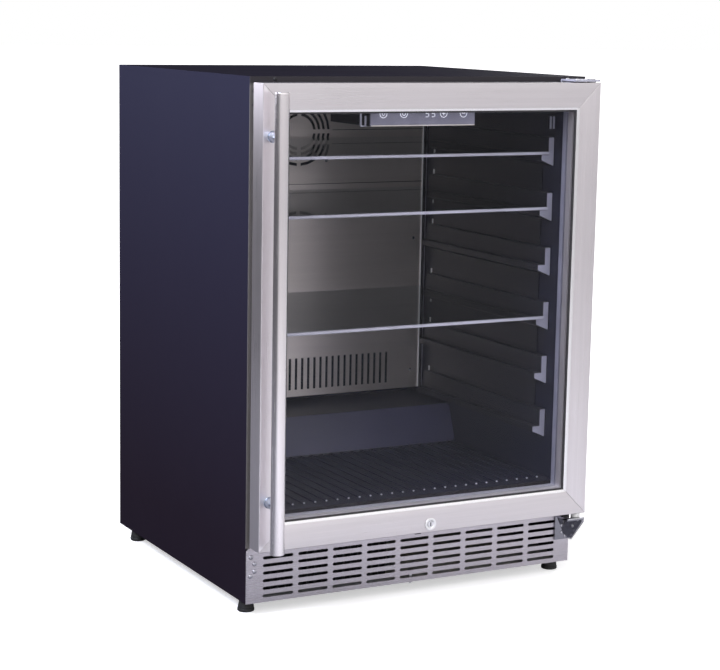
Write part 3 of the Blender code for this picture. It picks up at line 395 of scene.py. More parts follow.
# painted glow: the pale lines glow though they are no lamp
GLOWING_PALE_LINE.glow((0.95, 0.95, 1.0), 0.10)
FOAM = moulded("foam_skin", "foam", (0.70, 0.60, 0.34), 0.85, 260.0, 0.0004)
SPACER = brushed("spacer_metal", "spacer", (0.60, 0.57, 0.60), 2, 0.40, 0.05, 0.6)
CLAMP = moulded("clamp_plastic", "black_plastic", (0.38, 0.38, 0.47), 0.40)
for sill in (SPACER, CLAMP):  # painted glow standing in for light that the bottom rail throws back into the glass edge
    ledge = sill.span(sill.axes()[2], 1.0, 0.0, (DOOR_BOTTOM + 47 * MM, DOOR_BOTTOM + 52 * MM))
    sill.glow((0.92, 0.90, 1.0), sill.maths("MULTIPLY", ledge, 0.13))
SEAL = moulded("glass_seal", "rubber", (0.022, 0.020, 0.022), 0.55, 700.0)
HINGE_PLATE = painted("hinge_zinc", "chrome", (0.40, 0.40, 0.47), 0.35)
FINS = brushed("fin_aluminium", "fins", (0.62, 0.63, 0.65), 2, 0.36, 0.05)
DARK_FINS = painted("fin_black", "fins", (0.016, 0.016, 0.018), 0.42)
ENAMEL = painted("compressor_enamel", "motor", (0.016, 0.016, 0.018), 0.30)
COPPER = polished("copper_tube", "chrome", (0.72, 0.36, 0.22), 0.28)
FASCIA = moulded("fascia_film", "fascia", (0.40, 0.395, 0.50), 0.34, 2200.0, 0.00001)
HUMP = painted("hump_cover", "liner", (0.080, 0.080, 0.160), 0.32, 0.2, 0.5)
# pale plastic: painted highlights on the floor's rib ends, and the lamp's own lenses
NOSE_HIGHLIGHT_AND_LENS = moulded("rib_nose", "trim", (0.85, 0.85, 0.92), 0.45)
ICON = moulded("icon_print", "trim", (0.85, 0.85, 0.92), 0.45)
ICON.glow((0.92, 0.93, 1.0), 0.9)  # the symbols are backlit
LIP = moulded("light_guide", "trim", (0.80, 0.76, 0.72), 0.40)
LIP.glow((1.0, 0.93, 0.86), 0.22)
BOARD = moulded("board_green", "circuit", (0.03, 0.16, 0.07), 0.45)
LAMP = moulded("lamp_diffuser", "lamp", (0.80, 0.81, 0.86), 0.35)
LAMP.glow((0.95, 0.96, 1.0), 3.0)
DOOR_GLASS = clear_sheet("door_glass", "glass", (0.90, 0.92, 1.0), 0.30, (0.965, 0.965, 0.97))
SHELF_GLASS = clear_sheet("shelf_glass", "glass", (0.90, 0.96, 0.97), 0.8, (0.93, 0.955, 0.96))

FINISHES = {  # each finish, with the starts of the names of the CAD nodes that have it
    NAVY: "side_panel",
    NAVY_TOP_PAINTED_SHADE: "top_panel",
    FRAME_PAINT: "front_frame",
    ZINC: ("back_panel", "rear_grille", "base_pan", "evaporator_fan_motor", "condenser_fan_motor"),
    FOAM: "insulation_foam",
    LINER: "inner_liner",
    RACK: "shelf_rack",
    DUCT_STEEL: "duct_panel",
    FINS: "evaporator_coil",
    DARK_FINS: "condenser_coil",
    BLACK: ("control_box", "door_switch_body", "drip_tray", "power_inlet", "evaporator_fan", "condenser_fan"),
    CLAMP: "door_inner_frame",
    FASCIA: "control_fascia",
    BOARD: "control_board",
    LAMP: "light_strip",
    TRIM: ("temperature_probe", "shelf_trim"),
    NYLON: ("door_switch_plunger", "door_bush"),
    KICK_STEEL: "kick_plate",
    CHROME: ("top_hinge_pin", "bottom_hinge_pin", "lock"),
    HINGE_PLATE: "top_hinge_bracket",
    CHROME_PAINTED_DARK: "bottom_hinge_bracket",
    ENAMEL: "compressor",
    FOOT_RUBBER: "foot",
    SHELF_GLASS: "shelf_glass",
    STEEL_UPRIGHT_LIT: "door_stile_right",
    STEEL_LIT_BEHIND_HANDLE: "door_stile_left",
    STEEL_ACROSS: "door_rail",
    DOOR_GLASS: "door_glass",
    SPACER: "glass_spacer",
    GASKET: "door_gasket",
    HANDLE_STEEL: "handle_bar",
    POST_STEEL_PAINTED_REFLECTION: "handle_post",
}


def finish_of(name):
    """The finish of a CAD node. The fan motors stand before the fans, whose names start alike."""
    return next(look for look, starts in FINISHES.items() if name.startswith(starts))


def paint_nodes():
    """Gives every CAD node its finish."""
    for name, node in NODES.items():
        for place in node.material_slots:
            place.material = finish_of(name).material


# -------- mesh building
def mesh_of(bm, name):
    """A mesh made of a bmesh, which is freed."""
    mesh = bpy.data.meshes.new(name)
    bm.to_mesh(mesh)
    bm.free()
    return mesh


def absorb(bm, part, matrix=None):
    """Adds part, moved by the matrix, to bm and frees it."""
    if matrix is not None:
        part.transform(matrix)
    mesh = mesh_of(part, "part")
    bm.from_mesh(mesh)
    bpy.data.meshes.remove(mesh)


def outward(bm):
    """Turns every face of a closed mesh outwards."""
    bmesh.ops.recalc_face_normals(bm, faces=bm.faces)
    if bm.calc_volume(signed=True) < 0:
        bmesh.ops.reverse_faces(bm, faces=bm.faces)
    return bm


def block(low, high, bevel=0.0, segments=2):
    """A box with rounded edges."""
    bm = bmesh.new()
    low, high = Vector(low), Vector(high)
    bmesh.ops.create_cube(bm, size=1.0)
    bmesh.ops.scale(bm, vec=high - low, verts=bm.verts)
    bmesh.ops.translate(bm, vec=(high + low) / 2, verts=bm.verts)
    if bevel:
        bmesh.ops.bevel(bm, geom=bm.edges[:], offset=bevel, segments=segments, affect="EDGES", profile=0.5)
    return bm


def turned(profile, base, axis, steps=48):
    """A closed outline of (radius, distance) points turned about an axis through base."""
    bm = bmesh.new()
    verts = [bm.verts.new((r, 0, d)) for r, d in profile]
    for a, b in zip(verts, verts[1:] + verts[:1]):
        if a.co.x > 0 or b.co.x > 0:
            bm.edges.new((a, b))
    geometry = bm.verts[:] + bm.edges[:]
    bmesh.ops.spin(
        bm, geom=geometry, cent=(0, 0, 0), axis=UP, angle=2 * math.pi, steps=steps, use_merge=True
    )
    bmesh.ops.remove_doubles(bm, verts=bm.verts, dist=1e-6)
    turn = Vector(UP).rotation_difference(Vector(axis)).to_matrix().to_4x4()
    bm.transform(Matrix.Translation(base) @ turn)
    return outward(bm)


def upright(u, v, t):
    """Place of a flat outline that faces the front."""
    return (u, t, v)


def lying(u, v, t):
    """Place of a flat outline that faces up."""
    return (u, v, t)


def plate(outline, start, end, bevel=0.0, place=upright):
    """A flat outline without holes drawn out from start to end. place turns (u, v, t) into a point."""
    bm = bmesh.new()
    loops = [[bm.verts.new(place(u, v, t)) for u, v in outline] for t in (start, end)]
    bm.faces.new(loops[0])
    bm.faces.new(loops[1][::-1])
    count = len(outline)
    for i in range(count):
        j = (i + 1) % count
        bm.faces.new((loops[0][i], loops[0][j], loops[1][j], loops[1][i]))
    outward(bm)
    if bevel:
        rim = [edge for edge in bm.edges if edge.calc_face_angle(0) > SHARP]
        bmesh.ops.bevel(bm, geom=rim, offset=bevel, segments=2, affect="EDGES", profile=0.5)
    return bm


def smoothed(points, steps):
    """A Catmull-Rom curve through the points."""
    points = [Vector(point) for point in points]
    padded = [points[0] * 2 - points[1], *points, points[-1] * 2 - points[-2]]
    made = []
    for a, b, c, d in zip(padded, padded[1:], padded[2:], padded[3:]):
        for i in range(steps):
            t = i / steps
            curved = (2 * a - 5 * b + 4 * c - d) * t**2 + (3 * b - a - 3 * c + d) * t**3
            made.append(0.5 * (2 * b + (c - a) * t + curved))
    return [*made, points[-1]]


def pipe(points, radius, sides=14):
    """A round tube along a path, closed at both ends."""
    bm = bmesh.new()
    rings = []
    side = None
    turns = [2 * math.pi * k / sides for k in range(sides)]
    for i, point in enumerate(points):
        ahead = (points[min(i + 1, len(points) - 1)] - points[max(i - 1, 0)]).normalized()
        if side is None:
            side = ahead.orthogonal().normalized()
        side = (side - ahead * side.dot(ahead)).normalized()
        across = ahead.cross(side)
        spokes = [math.cos(turn) * side + math.sin(turn) * across for turn in turns]
        rings.append([bm.verts.new(point + radius * spoke) for spoke in spokes])
    for first, second in zip(rings, rings[1:]):
        for k in range(sides):
            j = (k + 1) % sides
            bm.faces.new((first[k], first[j], second[j], second[k]))
    bm.faces.new(rings[0])
    bm.faces.new(rings[-1])
    return outward(bm)


def frame_ring(section, low, high):
    """A rectangular ring in the XZ plane. section holds (inset, y) points of its closed outline."""
    bm = bmesh.new()
    loops = []
    for inset, y in section:
        x0, z0, x1, z1 = low[0] + inset, low[1] + inset, high[0] - inset, high[1] - inset
        loops.append([bm.verts.new((x, y, z)) for x, z in ((x0, z0), (x1, z0), (x1, z1), (x0, z1))])
    for a, b in zip(loops, loops[1:] + loops[:1]):
        for i in range(4):
            j = (i + 1) % 4
            bm.faces.new((a[i], a[j], b[j], b[i]))
    return outward(bm)


def arc(radius, start, stop, steps, centre=(0, 0)):
    """Points on a circle, angles in degrees."""
    turns = [math.radians(start + (stop - start) * i / steps) for i in range(steps + 1)]
    return [(centre[0] + radius * math.cos(a), centre[1] + radius * math.sin(a)) for a in turns]


def rounded_outline(low, high, radius, steps=5):
    """A rectangle with rounded corners."""
    (u0, v0), (u1, v1) = low, high
    points = []
    for u, v, start in ((u1, v1, 0), (u0, v1, 90), (u0, v0, 180), (u1, v0, 270)):
        centre = (u - radius if u == u1 else u + radius, v - radius if v == v1 else v + radius)
        points += arc(radius, start, start + 90, steps, centre)
    return points


def piece(name, bm, look, body="cabinet", replaced=()):
    """Makes a visible object of bm that rides on a body, in place of the CAD nodes in replaced."""
    mesh = mesh_of(bm, name)
    mesh.materials.append(look.material)
    mesh.shade_smooth()
    mesh.set_sharp_from_angle(angle=SHARP)
    made = added(name, mesh)
    made.modifiers.new("even_normals", "WEIGHTED_NORMAL").keep_sharp = True
    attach(made, body)
    if replaced:
        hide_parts(*replaced)


def softened(node, width, segments=2):
    """Stands for a CAD node with the same shape, its sharp edges rounded."""
    bm = bmesh.new()
    bm.from_mesh(NODES[node].data)
    bmesh.ops.remove_doubles(bm, verts=bm.verts, dist=1e-6)
    flat = math.radians(0.5)
    bmesh.ops.dissolve_limit(bm, angle_limit=flat, verts=bm.verts, edges=bm.edges)
    rim = [edge for edge in bm.edges if len(edge.link_faces) == 2 and edge.calc_face_angle(0) > SHARP]
    bmesh.ops.bevel(
        bm, geom=rim, offset=width, segments=segments, affect="EDGES", profile=0.5, clamp_overlap=True
    )
    piece(f"{node}_finished", bm, finish_of(node), NODES[node]["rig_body"], (node,))


# -------- fasteners
def screw_master():
    """Domed cross-recess head of radius 1 and height 0.55, pointing along +Z."""
    rim, rise, long, thin, floor, above = 0.12, 0.43, 0.55, 0.09, 0.25, 0.9
    dome = [(r, rim + h * rise) for r, h in arc(1, 8, 82, 6)]
    solid = turned([(0, 0), (1, 0), (1, rim), *dome, (0, rim + rise)], (0, 0, 0), UP, 32)
    head = added("screw", mesh_of(solid, "screw"))
    helpers = []
    for x, y in ((long, thin), (thin, long)):
        cutter = block((-x, -y, floor), (x, y, above))
        helper = added("recess", mesh_of(cutter, "recess"))
        step = head.modifiers.new("recess", "BOOLEAN")
        step.operation = "DIFFERENCE"
        step.object = helper
        helpers.append(helper)
    bpy.context.view_layer.update()
    made = bpy.data.meshes.new_from_object(head.evaluated_get(bpy.context.evaluated_depsgraph_get()))
    for helper in (head, *helpers):
        bpy.data.objects.remove(helper)
    return made


SCREW = screw_master()


def screws(name, places, axis, radius, look, spin):
    """Screw heads standing on a face of the cabinet, each turned by spin degrees more than the last."""
    bm = bmesh.new()
    face = Vector(UP).rotation_difference(Vector(axis)).to_matrix().to_4x4()
    for i, place in enumerate(places):
        head = bmesh.new()
        head.from_mesh(SCREW)
        turn = Matrix.Rotation(math.radians(spin * i), 4, "Z")
        absorb(bm, head, Matrix.Translation(place) @ face @ turn @ Matrix.Scale(radius, 4))
    piece(name, bm, look)


# -------- door details
def handle():
    """Ground tube with rolled ends and a fine groove near the top."""
    low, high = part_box("handle_bar")
    radius = (high.x - low.x) / 2
    length = high.z - low.z
    wall, soft, plug, down, wide, deep = mm(1.5, 1.0, 3, 4, 0.4, 0.35)
    bore, groove = radius - wall, length - down
    outline = [
        (bore, 0), *arc(soft, -90, 0, 4, (radius - soft, soft)),
        (radius, groove), (radius - deep, groove + wide / 2), (radius, groove + wide),
        *arc(soft, 0, 90, 4, (radius - soft, length - soft)),
        (0, length), (0, length - plug), (bore, length - plug),
    ]
    base = (*middle("handle_bar").xy, low.z)
    piece("handle_tube", turned(outline, base, UP, 64), HANDLE_STEEL, "door", ("handle_bar",))


def handle_collars():
    """Cones where the handle's posts meet the door."""
    collars = bmesh.new()
    sunk, gap, flare, edge, tall = mm(0.1, 0.05, 0.9, 0.5, 1.1)
    for node in ("handle_post_top", "handle_post_bottom"):
        low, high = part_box(node)
        post = (high.x - low.x) / 2
        ring = [(post + gap, 0), (post + flare, 0), (post + flare, edge), (post + gap, tall)]
        spot = middle(node)
        absorb(collars, turned(ring, (spot.x, FRONT - sunk, spot.z), TO_FRONT, 40))
    piece("handle_collars", collars, POST_STEEL_PAINTED_REFLECTION, "door")


def gasket():
    """Magnetic bellows gasket: a root strip, a folded waist and a soft bulb."""
    low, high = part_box("door_gasket")
    width, deep = 14.5 * MM, high.y - low.y
    side = [  # shares of the width and depth
        (0.04, 0.0), (0.0, 0.08), (0.02, 0.20), (0.20, 0.30), (0.30, 0.42),
        (0.20, 0.54), (0.03, 0.62), (0.0, 0.78), (0.03, 0.95), (0.12, 1.0),
    ]
    shape = side + [(1 - inset, share) for inset, share in reversed(side)]
    section = [(inset * width, low.y + share * deep) for inset, share in shape]
    ring = frame_ring(section, (low.x, low.z), (high.x, high.z))
    piece("gasket_bellows", ring, GASKET, "door", ("door_gasket",))


def lock_face():
    """Bright collar of the barrel lock."""
    low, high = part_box("lock_housing")
    radius = (high.x - low.x) / 2
    length = high.y - low.y
    bore, barrel, flange = mm(5.5, 8, 1.5)
    rounded = [(radius, 0.8 * MM), (radius - 0.3 * MM, 0.25 * MM), (radius - 0.9 * MM, 0)]
    dished = [(bore + 1.6 * MM, 0), (bore + 0.9 * MM, 0.4 * MM), (bore, 0.9 * MM)]
    outline = [(bore, 0), (barrel, 0), (barrel, length - flange), (radius, length - flange)]
    outline += [(r, length - back) for r, back in rounded + dished]
    spot = middle("lock_housing")
    collar = turned(outline, (spot.x, high.y, spot.z), TO_FRONT, 56)
    piece("lock_collar", collar, SATIN_CHROME, "door", ("lock_housing",))
    softened("lock_plug", 0.15 * MM, 1)


def keeper_cup():
    """Black cup behind the front frame that the lock's cam turns in."""
    outer, inner, deep, floor, gap = mm(12.8, 12.2, 7.6, 7.0, 0.4)
    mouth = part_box("front_frame")[1].y + gap
    outline = [(outer, 0), (outer, deep), (0, deep), (0, floor), (inner, floor), (inner, 0)]
    spot = middle("lock_housing")
    piece("keeper_cup", turned(outline, (spot.x, mouth, spot.z), TO_BACK, 40), BLACK)


def glass_seal():
    """Black bead between the frame's bevel and the glass."""
    shape = ((43.2, 2.75), (43.2, 2.3), (45.6, 3.9), (45.6, 5.85), (45.1, 5.85), (45.1, 4.1))
    section = [(inset * MM, depth(back)) for inset, back in shape]
    ring = frame_ring(section, (-HALF, DOOR_BOTTOM), (HALF, DOOR_TOP))
    piece("glass_bead", ring, SEAL, "door")


def door_bumper():
    """Small rubber stop under the bottom rail."""
    x, half, gap, reach, soft = mm(-18, 5, 0.2, 2.2, 0.6)
    low = (x - half, depth(3), DOOR_BOTTOM - reach)
    high = (x + half, depth(9), DOOR_BOTTOM - gap)
    piece("door_stop", block(low, high, soft), FOOT_RUBBER, "door")


# -------- hinges and case front
def hinge_details():
    """Brackets with eased edges, and hinge pins with a flat, dimpled head."""
    softened("top_hinge_bracket", 0.45 * MM)
    softened("bottom_hinge_bracket", 0.45 * MM)
    head, pin, thick, soft = mm(6.5, 4, 1.5, 0.4)
    dimple, bottom, deep = mm(2.6, 2.2, 0.9)
    for node, end in (("top_hinge_pin", 1), ("bottom_hinge_pin", -1)):
        low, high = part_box(node)
        length = high.z - low.z
        outline = [
            (0, 0), (pin - soft, 0), (pin, soft), (pin, length - thick), (head, length - thick),
            (head, length - soft), (head - soft, length), (dimple, length),
            (bottom, length - deep), (0, length - deep),
        ]
        base = (*middle(node).xy, low.z if end > 0 else high.z)
        piece(f"{node}_turned", turned(outline, base, (0, 0, end), 40), CHROME, "cabinet", (node,))


def hinge_rim_highlights():
    """Bright chrome beads along the bottom bracket's gusset and tongue, standing in as painted highlights on
    its edges, and two screws in the gusset.
    """
    low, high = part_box("bottom_hinge_bracket")
    face, top, foot = high.x - 3 * MM, high.z - 2.6 * MM, low.z + 0.8 * MM
    front, back = low.y + 1.2 * MM, high.y - 4 * MM
    shoulder = 97 * MM  # from here the front edge slopes back to the foot
    gusset = ((back, top), (front, top), (front, shoulder), (depth(33), foot), (back, foot))
    rim = bmesh.new()
    absorb(rim, pipe([Vector((face, y, z)) for y, z in gusset], 0.8 * MM, 10))
    tongue = [Vector((x, low.y + 0.2 * MM, high.z - 1.2 * MM)) for x in (low.x + MM, high.x - MM)]
    absorb(rim, pipe(tongue, 0.7 * MM, 10))
    piece("bottom_hinge_rim", rim, CHROME)
    spots = [(face, depth(back), z * MM) for back, z in ((15, 98), (29, 84))]
    screws("gusset_screws", spots, TO_LEFT, 2.6 * MM, SATIN_CHROME, 30)


CHEVRON = scaled(((-289, 94), (-283, 83), (-283, 71), (-290, 64)))  # (x, z) of the kick plate's screws
SPARE_HOLES = scaled(((-291.5, 804.6), (-291.5, 784.1), (-257, 822)))  # (x, z), for a left-hand hinge


def case_fasteners():
    """Screws and plugs on the case front and the hinge brackets."""
    spots = [(x, CASE_FRONT, z) for x, z in CHEVRON]
    screws("kick_plate_screws", spots, TO_FRONT, 3.7 * MM, SCREW_STEEL, 35)
    sunk, inward = mm(2.5, 1.5)
    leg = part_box("bottom_hinge_bracket")[1].y - sunk
    spots = [(-x - inward, leg, z) for x, z in CHEVRON[1:]]
    screws("bottom_hinge_screws", spots, TO_FRONT, 3.0 * MM, SCREW_STEEL, 50)
    spots = [(x, CASE_FRONT, z) for x, z in SPARE_HOLES]
    screws("hinge_hole_plugs", spots, TO_FRONT, 2.7 * MM, BLACK, 0)
    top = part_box("top_hinge_bracket")[1].z
    spots = [(257 * MM, depth(back), top) for back in (9, 36)]
    screws("top_hinge_screws", spots, UP, 3.2 * MM, SATIN_CHROME, 40)


def drain_spout():
    """End of the drain pipe, seen through the lowest slot, with its tab under the plate."""
    x, z, radius, half, foot, top = mm(-3, 31.5, 2.2, 2.5, 16.5, 31)
    bm = bmesh.new()
    absorb(bm, pipe([Vector((x, depth(back), z)) for back in (50, 62)], radius))
    absorb(bm, block((x - half, depth(50), foot), (x + half, depth(51.5), top), 0.4 * MM))
    piece("drain_spout", bm, FINS)


# -------- cold space
RACK_LOW, RACK_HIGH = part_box("shelf_rack_right")
LEDGE_PITCH = 90 * MM
LEDGES = 6
RACK_TIP = (  # (from the side wall, above the ledge's foot) in millimetres: a ledge with a post on it
    (1.2, -0.8), (24.3, 9.4), (24.3, 17.5), (10.8, 17.5), (10.8, 45.4), (1.2, 45.4),
)
RACK_MARKS = ((4, 22), (36, 54))  # the pale slots' spans above each ledge's foot, in millimetres


def sided(side, inner, outer):
    """Two distances from the middle plane as a low and a high X, on the left (-1) or right (1)."""
    return sorted((side * inner, side * outer))


def rack_fittings():
    """Pale front faces on the moulded ledges, painted light where their ends catch the light, and pale slots
    with a painted glow at their rear.
    """
    wall = RACK_HIGH.x
    rear = RACK_HIGH.y + 0.4 * MM
    for side, word in ((-1, "left"), (1, "right")):
        tips = bmesh.new()
        marks = bmesh.new()
        x0, x1 = sided(side, wall - 1.2 * MM, wall)
        for i in range(LEDGES):
            foot = RACK_LOW.z + i * LEDGE_PITCH
            outline = [(side * (wall - u * MM), foot + v * MM) for u, v in RACK_TIP]
            front, back = (RACK_LOW.y - ahead * MM for ahead in (0.8, 0.1))
            absorb(tips, plate(outline, front, back, 0.25 * MM))
            for low, high in RACK_MARKS:
                mark = block((x0, rear, foot + low * MM), (x1, rear + 4.5 * MM, foot + high * MM), 0.2 * MM)
                absorb(marks, mark)
        piece(f"rack_tip_highlights_{word}", tips, PALE_TRIM_AND_PAINTED_LIGHT)
        piece(f"rack_clips_{word}", marks, GLOWING_PALE_LINE)


def rack_clip():
    """Two pale bars on a dark plate, above the right rack's highest ledge."""
    bars = bmesh.new()
    width, foot, top, soft = mm(2.6, 741, 761, 0.6)
    for x in mm(250.2, 256.2):
        absorb(bars, block((x, depth(70), foot), (x + width, depth(73), top), soft))
    piece("clip_bars", bars, PALE_TRIM_AND_PAINTED_LIGHT)
    x, foot, top, soft = mm(246.5, 740, 762, 0.8)
    back = block((x, depth(73), foot), (RACK_HIGH.x, depth(76), top), soft)
    piece("clip_plate", back, RACK)


def rib_nose_highlights():
    """Pale rounded front ends of the floor's ribs: painted highlights where the ribs' ends catch the light.
    """
    ribs, pitch = 26, 19.7 * MM
    z = 163.5 * MM
    noses = bmesh.new()
    for i in range(ribs):
        nose = bmesh.new()
        bmesh.ops.create_uvsphere(nose, u_segments=14, v_segments=8, radius=1.0)
        centre = ((i - (ribs - 1) / 2) * pitch, depth(69.2), z)
        absorb(noses, nose, Matrix.Translation(centre) @ Matrix.Diagonal((*mm(1.7, 1.5, 1.4), 1)))
    piece("floor_rib_noses", noses, NOSE_HIGHLIGHT_AND_LENS)


def hump_cover():
    """Smooth cover on the sloping front of the compressor's hump."""
    foot, crest = Vector((depth(360), 162 * MM)), Vector((depth(385), 229 * MM))
    along = (crest - foot).normalized()
    out = Vector((-along.y, along.x))
    length = (crest - foot).length

    def place(u, v, t):
        spot = foot + along * v + out * t
        return (u, spot.x, spot.y)

    half, rise, drop, corner = mm(260.5, 3.2, 0.6, 7)
    start, end, soft = mm(0.15, 1.3, 0.4)
    outline = rounded_outline((-half, rise), (half, length - drop), corner)
    piece("hump_cover", plate(outline, start, end, soft, place), HUMP)


DUCT_SCREWS = scaled(((54, 663), (234, 519), (233, 276)))  # (from the middle, z), on both sides


def duct_details():
    """Cross-head screws, pressed seams, and painted highlights on the duct cover's folded edges and corners.
    """
    low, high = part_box("duct_panel")
    y = low.y
    spots = [(side * x, y, z) for x, z in DUCT_SCREWS for side in (-1, 1)]
    screws("duct_screws", spots, TO_FRONT, 2.9 * MM, SCREW_STEEL, 20)
    guard, upper, lower, wide, end, raised, sunk = mm(64, 716, 621.5, 0.9, 1, 0.25, 0.02)
    seams = bmesh.new()
    for z, x0, x1 in ((upper, low.x, -guard), (upper, guard, high.x), (lower, low.x, high.x)):
        absorb(seams, block((x0 + end, y - raised, z), (x1 - end, y - sunk, z + wide)))
    piece("duct_seams", seams, BLACK)
    folds = bmesh.new()
    corners = bmesh.new()
    for side in (-1, 1):
        x0, x1 = sided(side, high.x - 1.3 * MM, high.x + 0.7 * MM)
        absorb(folds, block((x0, y - 1.2 * MM, low.z), (x1, y + 0.5 * MM, high.z), 0.3 * MM))
        x0, x1 = sided(side, RACK_HIGH.x - 0.2 * MM, RACK_HIGH.x - 1.0 * MM)
        absorb(corners, block((x0, y + 4 * MM, low.z), (x1, y + 6 * MM, high.z), 0.2 * MM))
    piece("duct_fold_highlights", folds, GLOWING_PALE_LINE)
    piece("corner_bead_highlights", corners, PALE_TRIM_AND_PAINTED_LIGHT)


# -------- control panel
PRINT_FRONT, PRINT_BACK = 48.05, 48.2  # millimetres behind the door's face
FILM_BACK = 48.45
PRINT_LINE = 0.9 * MM
ICON_Z = 769 * MM
LAMP_X, POWER_X, PLUS_X, MINUS_X = mm(-71, -35, 36, 72)
DIGIT_XS = mm(3, 14)
DIGIT_WIDTH, DIGIT_HALF = mm(6, 5.2)  # DIGIT_HALF is half of a digit's height
SEGMENTS_OF_THREE = (  # both ends of each lit segment, as (column, row) with the row counted from the foot
    ((0, 2), (1, 2)), ((1, 1), (1, 2)), ((1, 0), (1, 1)), ((0, 0), (1, 0)), ((0, 1), (1, 1)),
)


def printed(corners):
    """A printed patch with straight edges."""
    return plate(list(corners), depth(PRINT_FRONT), depth(PRINT_BACK))


def printed_ring(centre, radius, start=0, stop=360):
    """A printed circle or part of one, angles in degrees."""
    outer = arc(radius, start, stop, 28, centre)
    inner = arc(radius - PRINT_LINE, start, stop, 28, centre)
    bm = bmesh.new()
    for corners in zip(outer, outer[1:], inner[1:], inner):
        absorb(bm, printed(corners))
    return bm


def stroke(start, end):
    """A straight printed line."""
    a, b = Vector(start), Vector(end)
    side = Vector((a.y - b.y, b.x - a.x)).normalized() * PRINT_LINE / 2
    return printed([tuple(a + side), tuple(b + side), tuple(b - side), tuple(a - side)])


def lamp_icon():
    bulb, up, half, down = mm(2.9, 0.8, 1.5, 2.6)
    yield printed_ring((LAMP_X, ICON_Z + up), bulb, -50, 230)
    yield stroke((LAMP_X - half, ICON_Z - down), (LAMP_X + half, ICON_Z - down))


def power_icon():
    radius, low, high = mm(3.0, 0.6, 3.6)
    yield printed_ring((POWER_X, ICON_Z), radius, 120, 420)
    yield stroke((POWER_X, ICON_Z + low), (POWER_X, ICON_Z + high))


def plus_and_minus_icons():
    reach = 3.2 * MM
    for x in (PLUS_X, MINUS_X):
        yield stroke((x - reach, ICON_Z), (x + reach, ICON_Z))
    for side in (-1, 1):
        yield stroke((PLUS_X, ICON_Z + side * reach), (PLUS_X, ICON_Z + side * PRINT_LINE / 2))


def digits():
    """The display's two digits, both a three."""
    gap = 0.6 * MM
    for x in DIGIT_XS:
        for ends in SEGMENTS_OF_THREE:
            start, end = (Vector((x + u * DIGIT_WIDTH, ICON_Z + (v - 1) * DIGIT_HALF)) for u, v in ends)
            trim = (end - start).normalized() * gap
            yield stroke(start + trim, end - trim)


def control_face():
    """Film on the control panel with its printed symbols and a two-digit display."""
    low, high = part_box("control_fascia")
    side, foot, corner = mm(1, 2.6, 2)
    film = rounded_outline((low.x + side, low.z + foot), (high.x - side, high.z - side), corner)
    overlay = plate(film, depth(PRINT_BACK), depth(FILM_BACK), 0.08 * MM)
    piece("fascia_overlay", overlay, FASCIA)
    side, tall, soft = mm(0.5, 1.6, 0.3)
    lip = block((low.x + side, depth(47.6), low.z), (high.x - side, depth(FILM_BACK), low.z + tall), soft)
    piece("fascia_lip", lip, LIP)
    print_work = bmesh.new()
    rings = [printed_ring((x, ICON_Z), 6.6 * MM) for x in (LAMP_X, POWER_X, PLUS_X, MINUS_X)]
    for part in (*rings, *lamp_icon(), *power_icon(), *plus_and_minus_icons(), *digits()):
        absorb(print_work, part)
    piece("fascia_symbols", print_work, ICON)


def lamp_lenses():
    """A row of small lenses under the lamp's cover."""
    low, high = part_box("light_strip")
    y = middle("light_strip").y
    count = 9
    dome = scaled(((0, 0), (2.2, 0), (1.8, 0.5), (0, 0.8)))
    lenses = bmesh.new()
    for i in range(count):
        x = low.x + (i + 0.5) * (high.x - low.x) / count
        absorb(lenses, turned(dome, (x, y, low.z), DOWN, 20))
    piece("lamp_lenses", lenses, NOSE_HIGHLIGHT_AND_LENS)


# -------- fans and machinery
def fan_blade(hub, reach):
    """One cambered blade, its pitch easing and its chord widening towards the tip."""
    rows, columns, thick = 8, 10, 1.3 * MM
    root = hub * 0.92
    blade = bmesh.new()
    skins = []
    for side in (-1, 1):
        grid = []
        for i in range(rows + 1):
            out = i / rows
            radius = root + (reach - root) * out
            pitch = math.radians(38 - 16 * out)
            chord = hub * (1.15 + 0.55 * out)
            line = []
            for j in range(columns + 1):
                t = j / columns - 0.5
                camber = 0.10 * chord * (1 - 4 * t * t)
                half_thick = thick / 2 * (1 - 2.4 * t * t)
                turn = t * chord * math.cos(pitch) / radius + 0.25 * out
                y = t * chord * math.sin(pitch) - camber + side * half_thick
                line.append(blade.verts.new((radius * math.cos(turn), y, radius * math.sin(turn))))
            grid.append(line)
        skins.append(grid)
        for i in range(rows):
            for j in range(columns):
                blade.faces.new((grid[i][j], grid[i + 1][j], grid[i + 1][j + 1], grid[i][j + 1]))
    near, far = skins
    border = [(0, j) for j in range(columns)] + [(i, columns) for i in range(rows)]
    border += [(rows, j) for j in range(columns, 0, -1)] + [(i, 0) for i in range(rows, 0, -1)]
    for (i, j), (k, m) in zip(border, border[1:] + border[:1]):
        blade.faces.new((near[i][j], near[k][m], far[k][m], far[i][j]))
    return outward(blade)


def fan(name, node, hub_share, body):
    """A moulded fan with twisted blades on a domed hub."""
    low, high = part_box(node)
    centre = middle(node)
    blades, gap, half, soft = 7, *mm(0.5, 8, 2.5)
    reach = (high.z - low.z) / 2 - gap
    hub = reach * hub_share
    outline = [(0, 0), (hub, 0), *arc(soft, 0, 90, 5, (hub - soft, 2 * half - soft)), (0, 2 * half)]
    bm = turned(outline, (centre.x, centre.y + half, centre.z), TO_FRONT, 48)
    for i in range(blades):
        spin = Matrix.Rotation(2 * math.pi * i / blades, 4, "Y")
        absorb(bm, fan_blade(hub, reach), Matrix.Translation(centre) @ spin)
    piece(name, bm, BLACK, body, (node,))


